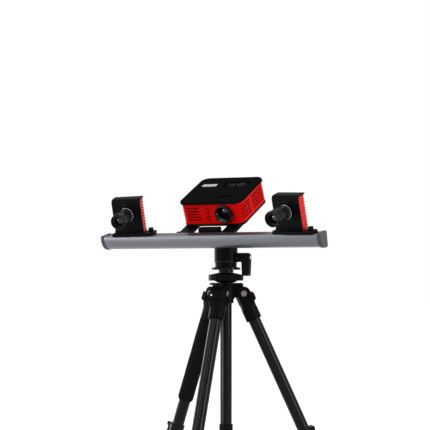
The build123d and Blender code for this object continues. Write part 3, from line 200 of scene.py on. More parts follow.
MARK = Finish("pale_grey_marking", (0.2, 0.2, 0.205), 0.6, Grain.PAINTED, specular=0.1, bump=0.0)


def dress(finish: Finish, *names: str) -> None:
    """Give CAD nodes one finish.

    Args:
        finish: the finish.
        names: node names.
    """
    for name in names:
        slots = NODES[name].data.materials
        slots.clear()
        slots.append(finish.material())


def joint_place(name: str) -> Vector:
    """Return where a hinge lies, in metres."""
    return Vector(JOINTS[name]["pos_m"])


def joint_axis(name: str) -> Vector:
    """Return the direction of a joint's axis."""
    return Vector(JOINTS[name]["axis"]).normalized()


def frame_on(place: Vector, across: Vector, up: Vector) -> Matrix:
    """Return a right-handed frame.

    Args:
        place: its origin.
        across: roughly its X direction.
        up: exactly its Z direction.

    Returns:
        The frame as a matrix.
    """
    z = up.normalized()
    y = z.cross(across).normalized()
    return Matrix.Translation(place) @ Matrix((y.cross(z), y, z)).transposed().to_4x4()


def shift(x: float, y: float, z: float) -> Matrix:
    """Return a move given in millimetres."""
    return Matrix.Translation((x / 1000, y / 1000, z / 1000))


def turn(degrees: float, axis: str = "Z") -> Matrix:
    """Return a rotation about one axis."""
    return Matrix.Rotation(math.radians(degrees), 4, axis)


def add_piece(name: str, shape: Shape, finish: Finish, body: str) -> bpy.types.Object:
    """Make one riding piece of a bmesh.

    Args:
        name: piece name.
        shape: finished bmesh in row coordinates; it is freed.
        finish: its finish.
        body: the CAD body it rides on.

    Returns:
        The new object.
    """
    bmesh.ops.remove_doubles(shape, verts=shape.verts, dist=MERGE)
    bmesh.ops.recalc_face_normals(shape, faces=shape.faces)
    mesh = bpy.data.meshes.new(name)
    shape.to_mesh(mesh)
    shape.free()
    piece = bpy.data.objects.new(name, mesh)
    bpy.context.scene.collection.objects.link(piece)
    mesh.materials.append(finish.material())
    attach(piece, body)
    log.info("%s: %d faces on %s", name, len(mesh.polygons), body)
    return piece


def spun(profile: list[Pair], place: Matrix, steps: int = 64) -> Shape:
    """Return a closed profile spun round the Z axis of a frame.

    Args:
        profile: radius and height pairs in millimetres.
        place: frame of the axis.
        steps: segments of the full turn.

    Returns:
        The bmesh.
    """
    shape = bmesh.new()
    ring = [shape.verts.new((r / 1000, 0, z / 1000)) for r, z in profile]
    edges = [shape.edges.new((a, b)) for a, b in zip(ring, ring[1:] + ring[:1])]
    bmesh.ops.spin(
        shape, geom=ring + edges, cent=(0, 0, 0), axis=(0, 0, 1), angle=math.tau, steps=steps, use_merge=True)
    bmesh.ops.transform(shape, matrix=place, verts=shape.verts)
    return shape


def tube_of(sections: list[list[Point]], place: Matrix, capped: bool = True) -> Shape:
    """Return a bar through four-sided sections.

    Args:
        sections: the corners of each section in millimetres.
        place: frame that they are given in.
        capped: whether both ends are closed with a face.

    Returns:
        The bmesh.
    """
    shape = bmesh.new()
    rings = [[shape.verts.new(place @ (Vector(c) / 1000)) for c in section] for section in sections]
    for a, b in zip(rings, rings[1:]):
        for i in range(4):
            shape.faces.new((a[i], a[(i + 1) % 4], b[(i + 1) % 4], b[i]))
    if capped:
        shape.faces.new(rings[0])
        shape.faces.new(rings[-1])
    return shape


def round_outline(width: float, depth: float, corner: float, steps: int = 8) -> list[Pair]:
    """Return the outline of a rectangle with round corners.

    Args:
        width: length along X in millimetres.
        depth: length along Y.
        corner: corner radius.
        steps: segments of each corner.

    Returns:
        Its points, anticlockwise.
    """
    points = []
    for quarter, (sx, sy) in enumerate(((1, 1), (-1, 1), (-1, -1), (1, -1))):
        for i in range(steps + 1):
            angle = math.radians(90 * quarter + 90 * i / steps)
            points.append((
                sx * (width / 2 - corner) + corner * math.cos(angle),
                sy * (depth / 2 - corner) + corner * math.sin(angle)))
    return points


def join(shape: Shape, extra: Shape) -> None:
    """Add the faces of one bmesh to another and free it."""
    held = bpy.data.meshes.new("held")
    extra.to_mesh(held)
    extra.free()
    shape.from_mesh(held)
    bpy.data.meshes.remove(held)


def soften(shape: Shape, edges: list[bmesh.types.BMEdge], radius: float, segments: int = 2) -> None:
    """Round edges of a bmesh.

    Args:
        shape: the bmesh.
        edges: the edges.
        radius: their new radius in millimetres.
        segments: steps of the rounding.
    """
    bmesh.ops.bevel(
        shape, geom=edges, offset=radius / 1000, offset_type="OFFSET", segments=segments,
        profile=0.5, affect="EDGES", material=-1, clamp_overlap=True)


def bevelled_box(size: Point, place: Matrix, edge: float) -> Shape:
    """Return a box with rounded edges.

    Args:
        size: edge lengths in millimetres.
        place: frame of its middle.
        edge: edge radius in millimetres.

    Returns:
        The bmesh.
    """
    shape = bmesh.new()
    bmesh.ops.create_cube(shape, size=1.0)
    bmesh.ops.scale(shape, vec=Vector(size) / 1000, verts=shape.verts)
    soften(shape, shape.edges[:], edge)
    bmesh.ops.transform(shape, matrix=place, verts=shape.verts)
    return shape


def rounded_plate(
        width: float, depth: float, height: float, corner: float, place: Matrix, edge: float) -> Shape:
    """Return a flat plate with round corners and a soft upper edge.

    Args:
        width: length along X in millimetres.
        depth: length along Y.
        height: thickness along Z, upwards from the frame.
        corner: corner radius.
        place: frame of the middle of its underside.
        edge: radius of the edges of its top.

    Returns:
        The bmesh.
    """
    shape = bmesh.new()
    bmesh.ops.create_cube(shape, size=1.0)
    bmesh.ops.scale(shape, vec=Vector((width, depth, height)) / 1000, verts=shape.verts)
    upright = [e for e in shape.edges if abs(e.verts[0].co.z - e.verts[1].co.z) > MERGE]
    soften(shape, upright, corner, 6)
    top = max(v.co.z for v in shape.verts)
    rim = [e for e in shape.edges if all(abs(v.co.z - top) < LEVEL for v in e.verts)]
    soften(shape, rim, edge)
    bmesh.ops.transform(shape, matrix=place @ shift(0, 0, height / 2), verts=shape.verts)
    return shape


def cap_screw(radius: float, height: float, place: Matrix) -> Shape:
    """Return a screw head with a hexagon socket.

    Args:
        radius: head radius in millimetres.
        height: head height.
        place: frame of the middle of its underside, Z outwards.

    Returns:
        The bmesh.
    """
    shape = bmesh.new()
    bmesh.ops.create_cone(
        shape, cap_ends=True, segments=24, radius1=radius / 1000, radius2=radius / 1000, depth=height / 1000)
    top = max(shape.faces, key=lambda f: f.calc_center_median().z)
    soften(shape, list(top.edges), SCREW_EDGE * radius)
    top = max(shape.faces, key=lambda f: (round(f.calc_center_median().z, 7), f.calc_area()))
    bmesh.ops.inset_individual(shape, faces=[top], thickness=SCREW_RIM * radius / 1000, depth=0)
    bmesh.ops.inset_individual(
        shape, faces=[top], thickness=SOCKET_TAPER * radius / 1000, depth=-SOCKET_DEPTH * height / 1000)
    bmesh.ops.transform(shape, matrix=place @ shift(0, 0, height / 2), verts=shape.verts)
    return shape


def ring_of(count: int, tooth: Point, radius: float, middle: float, place: Matrix) -> Shape:
    """Return small boxes set round an axis, as a knurl or a scale has.

    Args:
        count: how many.
        tooth: size of one along the radius, round the axis and along the axis, in millimetres.
        radius: distance of their middles from the axis.
        middle: their place along the axis.
        place: frame of the axis.

    Returns:
        The bmesh.
    """
    shape = bmesh.new()
    for i in range(count):
        at = place @ turn(360 * i / count) @ shift(radius, 0, middle)
        bmesh.ops.create_cube(shape, size=1.0, matrix=at @ Matrix.Diagonal((*(c / 1000 for c in tooth), 1)))
    return shape


@dataclass
class Beam:
    """Beam, its caps and the carrier behind it."""

    def build(self) -> None:
        """Finish the CAD nodes."""
        dress(ANODISED, "beam")
        dress(CAP_GREY, "end_caps")
        dress(BLACK_PAINT, "carrier", "top_plate")
        dress(STEEL, "flange_screws")
        dress(BLACK_CAST, "tilt_pin")


@dataclass
class Projector:
    """Projector on its tilting stand; sizes in millimetres from the tilt axis.

    Args:
        front: front face behind the tilt axis.
        width: width of the red band.
        depth: its depth.
        corner: its corner radius.
        shell_low: its lower edge.
        shell_height: its height.
        ribs: its ribs; all but the first and last have slots.
        cover_top: top of the cover.
        keypad: middle of the keypad recess.
        keypad_sunk: its depth.
        shade_band_outer: length, width and corner radius of the painted shade band on its floor, a dull black
            ring that darkens the edge of the recess.
        shade_band_inner: the same for the band's inner edge.
        shade_band_inner: the same for the border's inner edge.
        shade_band_thick: its thickness.
        embed: how far the painted shade band reaches into the floor.
        key_out: keys to each side of the keypad's middle.
        menu_ring: inner radius, outer radius and height of the four-way ring.
        menu_edge: bevel of its upper edges.
        arrow_out: its arrows from its middle.
        arrow: radius and thickness of an arrow.
        lights: signal spots from the keypad's middle.
        light: radius and thickness of a spot.
        power_ring: inner radius, outer radius and thickness of the mark round the power key.
        wheel: middle of the focus access recess.
        wheel_sunk: its depth.
        wheel_ribs: ribs on the focus wheel.
        wheel_pitch: distance from rib to rib.
        wheel_rib: size of one.
        plate: middle of the bare plate on the cover.
        plate_size: its length, width and thickness.
        plate_corner: its corner radius.
        slot_shade_inset: painted shade strips behind the outer face.
        slot_shade_thick: their thickness.
        slot_shade_starts: where the left and right strips start on the front.
        slot_shade_back: their rear end behind the front face.
        slot_shade_tall: height of the strip behind one row of slots.
        rear_lift: sockets above the red band's lower edge.
        panels: middle, width and height of each socket panel.
        panel_inset: their middle before the rear face.
        sockets: the same for each socket.
        socket_inset: their middle before the rear face.
        screw_out: tray screws to each side of the middle.
        screw_inset: tray screws from the front and rear faces.
        tray_under: underside of the tray.
    """

    front: float = 28.0
    width: float = 147.0
    depth: float = 136.0
    corner: float = 16.0
    shell_low: float = 12.0
    shell_height: float = 47.0
    ribs: int = 7
    cover_top: float = 65.0
    keypad: Pair = (27.0, 123.0)
    keypad_sunk: float = 1.4
    shade_band_outer: Point = (61.8, 31.8, 8.9)
    shade_band_inner: Point = (54.0, 24.0, 5.0)
    shade_band_thick: float = 0.12
    embed: float = 0.02
    key_out: float = 12.0
    menu_ring: Point = (5.4, 10.6, 0.9)
    menu_edge: float = 0.4
    arrow_out: float = 8.1
    arrow: Pair = (1.1, 0.2)
    lights: tuple[Pair, ...] = ((-21.5, 9.0), (-6.5, 5.0))
    light: Pair = (0.9, 0.3)
    power_ring: Point = (6.0, 6.5, 0.15)
    wheel: Pair = (30.5, 55.0)
    wheel_sunk: float = 3.4
    wheel_ribs: int = 13
    wheel_pitch: float = 2.0
    wheel_rib: Point = (0.9, 7.0, 1.4)
    plate: Pair = (-39.5, 121.0)
    plate_size: Point = (36.0, 12.5, 0.45)
    plate_corner: float = 2.0
    slot_shade_inset: float = 0.9
    slot_shade_thick: float = 0.3
    slot_shade_starts: Pair = (1.0, 55.0)
    slot_shade_back: float = 119.0
    slot_shade_tall: float = 3.0
    rear_lift: float = 17.0
    panels: tuple[Point, ...] = ((-20.0, 58.5, 12.5), (48.0, 20.5, 14.5))
    panel_inset: float = 3.4
    sockets: tuple[Point, ...] = (
        (-40.0, 16.0, 5.5), (-20.0, 14.0, 6.0), (-2.0, 12.0, 7.0), (48.0, 15.0, 8.0))
    socket_inset: float = 2.2
    screw_out: float = 62.0
    screw_inset: float = 12.0
    tray_under: float = 6.0

    def place(self) -> Matrix:
        """Return the frame on the tilt axis, Y to the back of the projector."""
        back = -joint_axis("projector_focus")
        across = Vector((1, 0, 0))
        return frame_on(joint_place("projector_tilt"), across, across.cross(back))

    def dress(self) -> None:
        """Finish the CAD nodes."""
        dress(BLACK_PAINT, "projector_stand")
        dress(BLACK_SATIN, "projector_tray", "power_key", "menu_key", "fan_frame", "fan_rotor")
        dress(COVER_BLACK, "projector_cover")
        dress(RED_SHELL, "projector_shell")
        dress(BLACK_ANODISED, "lens_bezel", "focus_barrel")
        dress(LENS, "projector_lens")
        dress(DARK_METAL, "light_engine")
        dress(BOARD, "main_board")

    def add(self, name: str, shape: Shape, finish: Finish, slot: str = "black_plastic") -> None:
        """Add a piece that rides on the projector."""
        add_piece(name, shape, finish, "projector")

    def menu_controls(self) -> None:
        """Four-way ring round the menu key."""
        inner, outer, height = self.menu_ring
        edge = self.menu_edge
        profile = [
            (inner, 0), (outer, 0), (outer, height - edge), (outer - edge, height),
            (inner + edge, height), (inner, height - edge)]
        self.add("menu_ring", spun(profile, self.key_place(1)), BLACK_SATIN)

    def key_place(self, side: int) -> Matrix:
        """Return the frame of a key on the keypad's floor, -1 for power and 1 for menu."""
        x, v = self.keypad
        return self.place() @ shift(x + side * self.key_out, v, self.cover_top - self.keypad_sunk)

    def key_marks(self) -> None:
        """Arrows on the four-way ring, signal spots and the mark round the power key."""
        x, v = self.keypad
        floor = self.cover_top - self.keypad_sunk
        marks = bmesh.new()
        menu = self.key_place(1)
        lift = self.menu_ring[2] + 0.05
        spots = [
            (menu @ turn(90 * i) @ shift(self.arrow_out, 0, lift), 3, self.arrow) for i in range(4)]
        spots += [
            (self.place() @ shift(x + out, v + up, floor + 0.05), 20, self.light) for out, up in self.lights]
        for at, segments, (radius, thick) in spots:
            bmesh.ops.create_cone(
                marks, cap_ends=True, segments=segments, radius1=radius / 1000, radius2=radius / 1000,
                depth=thick / 1000, matrix=at)
        inner, outer, height = self.power_ring
        profile = [(inner, 0), (outer, 0), (outer, height), (inner, height)]
        join(marks, spun(profile, self.key_place(-1), 40))
        self.add("key_marks", marks, MARK)

    def focus_wheel(self) -> None:
        """Ribs of the focus wheel in its recess."""
        x, v = self.wheel
        floor = self.cover_top - self.wheel_sunk
        ribs = bmesh.new()
        for i in range(self.wheel_ribs):
            along = self.wheel_pitch * (i - (self.wheel_ribs - 1) / 2)
            at = self.place() @ shift(x + along, v, floor + self.wheel_rib[2] / 2)
            join(ribs, bevelled_box(self.wheel_rib, at, 0.25))
        self.add("focus_wheel_ribs", ribs, BLACK_SATIN)

    def bare_plate(self) -> None:
        """Plain plate on the cover."""
        x, v = self.plate
        width, depth, height = self.plate_size
        at = self.place() @ shift(x, v, self.cover_top - 0.05)
        plate = rounded_plate(width, depth, height, self.plate_corner, at, 0.15)
        self.add("cover_plate", plate, PLATE)

    def slot_shade_path(self, side: int, start: float, inset: float) -> list[Pair]:
        """Return points along the shell's wall, from the front face round a corner to the back.

        Args:
            side: -1 left, 1 right.
            start: where it starts on the front face.
            inset: distance behind the outer face.

        Returns:
            Pairs across and behind the tilt axis, in millimetres.
        """
        centre = self.width / 2 - self.corner
        radius = self.corner - inset
        steps = 12
        points = [(start, self.front + inset)]
        for step in range(steps + 1):
            angle = math.radians(90 * step / steps)
            points.append((
                side * (centre + radius * math.sin(angle)),
                self.front + self.corner - radius * math.cos(angle)))
        points.append((side * (self.width / 2 - inset), self.front + self.slot_shade_back))
        return points

    def slot_painted_shade(self) -> None:
        """Painted shade behind each row of slots: dull black strips, in two runs that leave the lens free."""
        pitch = self.shell_height / self.ribs
        strips = bmesh.new()
        for side, start in zip((-1, 1), self.slot_shade_starts):
            outer = self.slot_shade_path(side, start, self.slot_shade_inset)
            inner = self.slot_shade_path(side, start, self.slot_shade_inset + self.slot_shade_thick)
            for row in range(1, self.ribs - 1):
                middle = self.shell_low + (row + 0.5) * pitch
                low, high = middle - self.slot_shade_tall / 2, middle + self.slot_shade_tall / 2
                sections = [
                    [(ox, oy, low), (ox, oy, high), (ix, iy, high), (ix, iy, low)]
                    for (ox, oy), (ix, iy) in zip(outer, inner)]
                join(strips, tube_of(sections, self.place()))
        self.add("slot_painted_shade", strips, SHADE_BLACK)

    def keypad_shade_band(self) -> None:
        """Painted shade: a dull black band round the keypad's floor that darkens the edge of the recess."""
        x, v = self.keypad
        floor = self.cover_top - self.keypad_sunk
        low, high = floor - self.embed, floor + self.shade_band_thick
        sections = [
            [(x + ox, v + oy, low), (x + ox, v + oy, high), (x + ix, v + iy, high), (x + ix, v + iy, low)]
            for (ox, oy), (ix, iy) in zip(round_outline(*self.shade_band_outer), round_outline(*self.shade_band_inner))]
        shade_band = tube_of(sections + sections[:1], self.place(), capped=False)
        self.add("keypad_shade_band", shade_band, SHADE_BLACK)

    def lens_rings(self) -> None:
        """Polished dish in the bezel and a thin rim on its front."""
        out = joint_axis("projector_focus")
        axis = frame_on(joint_place("projector_focus"), Vector((1, 0, 0)), out)
        dish = [(13.6, 2.4), (17.75, 7.4), (17.75, 8.0), (17.2, 7.9), (13.2, 2.9), (13.2, 2.4)]
        self.add("lens_dish", spun(dish, axis, 96), DISH_GLOSS)
        rim = [(18.3, 7.95), (19.1, 7.95), (19.1, 8.2), (18.9, 8.35), (18.5, 8.35), (18.3, 8.2)]
        self.add("bezel_rim", spun(rim, axis), BLACK_ANODISED)

    def rear(self) -> None:
        """Sockets in the rear openings."""
        back = self.front + self.depth
        lift = self.shell_low + self.rear_lift
        plate = bmesh.new()
        for x, wide, tall in self.panels:
            at = self.place() @ shift(x, back - self.panel_inset, lift)
            join(plate, bevelled_box((wide, 1.6, tall), at, 0.3))
        self.add("socket_panel", plate, BLACK_SATIN)
        outward = (self.place().to_3x3() @ Vector((0, 1, 0))).normalized()
        shells = bmesh.new()
        for x, wide, tall in self.sockets:
            at = self.place() @ shift(x, back - self.socket_inset, lift)
            shell = bevelled_box((wide, 1.4, tall), at, 0.5)
            face = max(shell.faces, key=lambda f: f.normal.dot(outward) * f.calc_area())
            bmesh.ops.inset_individual(shell, faces=[face], thickness=0.0007, depth=0)
            bmesh.ops.inset_individual(shell, faces=[face], thickness=0.0001, depth=-0.001)
            join(shells, shell)
        self.add("socket_shells", shells, STEEL, "steel")

    def underside(self) -> None:
        """Screws under the tray."""
        screws = bmesh.new()
        for x in (-self.screw_out, self.screw_out):
            for v in (self.front + self.screw_inset, self.front + self.depth - self.screw_inset):
                at = self.place() @ shift(x, v, self.tray_under) @ turn(180, "X")
                join(screws, cap_screw(2.4, 0.9, at))
        self.add("tray_screws", screws, STEEL, "steel")

    def build(self) -> None:
        """Dress the projector and add its fine pieces."""
        self.dress()
        self.menu_controls()
        self.key_marks()
        self.focus_wheel()
        self.bare_plate()
        self.slot_painted_shade()
        self.keypad_shade_band()
        self.lens_rings()
        self.rear()
        self.underside()


@dataclass
class CameraUnit:
    """One camera on the beam; sizes in millimetres.

    Args:
        side: left or right.
        ring_start: start of the focus ring in front of the case.
        ring_length: its length.
        ring_radius: its radius.
        grips: middle and length of each of its grips, from its start.
        grip_teeth: teeth of each grip.
        tooth: a tooth's size along the radius and round the axis.
        knurl_proud: middle of a tooth outside the ring's surface.
        iris_radius: radius of the iris ring.
        iris_back: its middle behind the start of the focus ring.
        screw_angles: where its thumb screws sit, in degrees.
        mount_radius: radius of the ring on the case.
        thread_radius: radius of the filter thread.
        thread_depths: its turns behind the front of the focus ring.
        lean: degrees that the case leans forwards.
        base: thickness of the base plate.
        back: rear face of the camera behind the swivel axis.
        lens_lift: lens above the beam.
        cover_screw_out: rear cover screws to each side of the middle.
        cover_screw_lifts: their heights.
        light_out: status light beside the middle.
        base_screw_out: base screws to the left of the swivel axis.
        base_screw_backs: base screws behind the swivel axis.
    """

    side: str
    ring_start: float = 33.3
    ring_length: float = 26.0
    ring_radius: float = 17.0
    grips: tuple[Pair, ...] = ((4.8, 7.4), (19.6, 9.4))
    grip_teeth: int = 54
    tooth: Pair = (0.5, 1.1)
    knurl_proud: float = 0.1
    iris_radius: float = 15.6
    iris_back: float = 4.8
    screw_angles: tuple[float, ...] = (55.0, 175.0)
    mount_radius: float = 24.0
    thread_radius: float = 15.3
    thread_depths: tuple[float, ...] = (0.8, 1.8, 2.8)
    lean: float = 6.0
    base: float = 6.0
    back: float = 15.0
    lens_lift: float = 50.0
    cover_screw_out: float = 24.0
    cover_screw_lifts: tuple[float, ...] = (14.0, 72.0)
    light_out: float = 14.0
    base_screw_out: float = 36.4
    base_screw_backs: tuple[float, ...] = (-15.0, 8.0)

    def lens_place(self) -> Matrix:
        """Return the frame of the lens: origin on the case, Z out along the lens."""
        name = f"{self.side}_focus_turn"
        out = joint_axis(name)
        return frame_on(joint_place(name) - out * self.ring_start / 1000, Vector((1, 0, 0)), out)

    def base_place(self) -> Matrix:
        """Return the frame of the base on its swivel axis, Y to the back."""
        up = joint_axis(f"{self.side}_camera_turn")
        out = joint_axis(f"{self.side}_focus_turn")
        return frame_on(joint_place(f"{self.side}_camera_turn"), up.cross(out), up)

    def case_place(self) -> Matrix:
        """Return the frame of the leaning case."""
        return self.base_place() @ shift(0, 0, self.base) @ turn(self.lean, "X") @ shift(0, 0, -self.base)

    def dress(self) -> None:
        """Finish the CAD nodes."""
        dress(GREY_METAL, f"{self.side}_slider")
        dress(BLACK_PAINT, f"{self.side}_case", f"{self.side}_camera")
        dress(RED_PANEL, f"{self.side}_side_panels")
        dress(BLACK_ANODISED, f"{self.side}_lens_barrel", f"{self.side}_focus_ring")
        dress(LENS, f"{self.side}_lens_glass")
        dress(BLACK_SATIN, f"{self.side}_clamp_knob")

    def add(
            self, name: str, shape: Shape, finish: Finish, slot: str = "black_metal",
            body: str = "camera") -> None:
        """Add a piece of this camera; its name and its body get the side in front."""
        add_piece(f"{self.side}_{name}", shape, finish, f"{self.side}_{body}")

    def knurls(self) -> None:
        """Knurls of the focus ring, of the iris ring and of the ring next to the case."""
        place = self.lens_place()
        grip = bmesh.new()
        for middle, length in self.grips:
            radius = self.ring_radius + self.knurl_proud
            join(grip, ring_of(
                self.grip_teeth, (*self.tooth, length), radius, self.ring_start + middle, place))
        self.add("focus_knurl", grip, BLACK_ANODISED, body="focus")
        middle = self.ring_start - self.iris_back
        iris = ring_of(48, (*self.tooth, 5.4), self.iris_radius + self.knurl_proud, middle, place)
        join(iris, ring_of(40, (0.5, 1.2, 3.2), 16.5, 10.0, place))
        self.add("iris_knurl", iris, BLACK_ANODISED)

    def lens_rings(self) -> None:
        """Filter thread, the rings on the case and the cone in front of the glass."""
        place = self.lens_place()
        start = self.ring_start
        threads = bmesh.new()
        for depth in self.thread_depths:
            z = start + self.ring_length - depth
            outer, inner = self.thread_radius, self.thread_radius - 0.25
            join(threads, spun([(outer, z - 0.25), (inner, z), (outer, z + 0.25)], place))
        self.add("filter_thread", threads, BLACK_ANODISED, body="focus")
        inner, outer = self.mount_radius - 1.4, self.mount_radius + 0.15
        rim = [(inner, 2.9), (outer, 2.9), (outer, 3.3), (outer - 0.45, 3.6), (inner, 3.6)]
        self.add("mount_rim", spun(rim, place), BLACK_GLOSS)
        seat = [(14.6, 6.0), (16.2, 6.6), (16.9, 7.2), (16.9, 7.8), (16.55, 8.1), (14.6, 8.1)]
        self.add("mount_seat", spun(seat, place), STEEL, "steel")
        cone = [(11.2, start + 12.6), (14.55, start + 20.9), (14.55, start + 21.3), (11.2, start + 13.2)]
        self.add("lens_cone", spun(cone, place), BLACK_SATIN)

    def lock_screws(self) -> None:
        """Thumb screws that lock the iris ring."""
        place = self.lens_place() @ shift(0, 0, self.ring_start - self.iris_back)
        profile = [(0, 0), (1.1, 0), (1.1, 1.2), (2.1, 1.4), (2.1, 5.0), (1.8, 5.3), (0, 5.3)]
        for number, angle in enumerate(self.screw_angles):
            stem = place @ turn(angle) @ shift(self.iris_radius, 0, 0) @ turn(90, "Y")
            shape = spun(profile, stem, 24)
            join(shape, ring_of(16, (0.3, 0.4, 3.2), 2.15, 3.2, stem))
            self.add(f"lock_screw_{number}", shape, BLACK_ANODISED)

    def rear(self) -> None:
        """Rear cover screws, round socket and status light."""
        place = self.case_place() @ shift(0, self.back, 0) @ turn(-90, "X")
        screws = bmesh.new()
        for x in (-self.cover_screw_out, self.cover_screw_out):
            for z in self.cover_screw_lifts:
                join(screws, cap_screw(1.9, 0.8, place @ shift(x, -z, 0)))
        self.add("rear_screws", screws, STEEL, "steel")
        jack = [(3.4, 0), (6.6, 0), (6.6, 1.6), (6.0, 2.2), (4.0, 2.2), (3.4, 1.8)]
        at = place @ shift(0, -self.lens_lift, 0)
        self.add("socket_ring", spun(jack, at), GREY_METAL, "grey_metal")
        light = [(0, 0), (1.3, 0), (1.3, 0.5), (0.8, 0.9), (0, 1.0)]
        at = place @ shift(self.light_out, -self.lens_lift, 0)
        self.add("status_light", spun(light, at, 24), PLATE, "lens_glass")

    def base_screws(self) -> None:
        """Cap screws at the left of the base plate."""
        screws = bmesh.new()
        for y in self.base_screw_backs:
            at = self.base_place() @ shift(-self.base_screw_out, y, self.base + 0.3)
            join(screws, cap_screw(2.4, 1.6, at))
        self.add("base_screws", screws, BLACK_SATIN)

    def build(self) -> None:
        """Dress the camera and add its fine pieces."""
        self.dress()
        self.knurls()
        self.lens_rings()
        self.lock_screws()
        self.rear()
        self.base_screws()


@dataclass
class Head:
    """Ball head under the beam; sizes in millimetres.

    Args:
        radius: radius of the head's body.
        lever_reach: outer face of the lever from the head's axis.
        hub_radius: radius of the lever's hub.
    """

    radius: float = 25.5
    lever_reach: float = 60.0
    hub_radius: float = 10.0

    def dress(self) -> None:
        """Finish the CAD nodes."""
        dress(STEEL, "ball")
        dress(BLACK_CAST, "head_body", "pan_base", "clamp_lever", "lock_collar")
        dress(BLACK_GLOSS, "column")
        dress(BLACK_SATIN, "column_cap")

    def scale(self) -> None:
        """Fine marks round the foot of the head, as a pan scale has."""
        axis = Matrix.Translation(joint_place("head_pan"))
        ticks = ring_of(72, (0.1, 0.35, 1.6), self.radius + 0.02, 2.2, axis)
        join(ticks, ring_of(12, (0.1, 0.45, 2.8), self.radius + 0.02, 2.8, axis))
        add_piece("pan_scale", ticks, MARK, "head")

    def lever_ring(self) -> None:
        """Ring on the lever's hub and the screw in its outer face."""
        place = frame_on(joint_place("head_lever"), Vector((0, 0, 1)), Vector((1, 0, 0)))
        ring = ring_of(28, (0.5, 1.0, 3.6), self.hub_radius + 0.1, 4.4, place)
        add_piece("lever_hub_knurl", ring, BLACK_CAST, "lever")
        reach = self.lever_reach - self.radius
        screw = cap_screw(4.2, 0.8, place @ shift(0, 0, reach - 0.1))
        add_piece("lever_screw", screw, STEEL, "lever")

    def build(self) -> None:
        """Dress the head and add its fine pieces."""
        self.dress()
        self.scale()
        self.lever_ring()


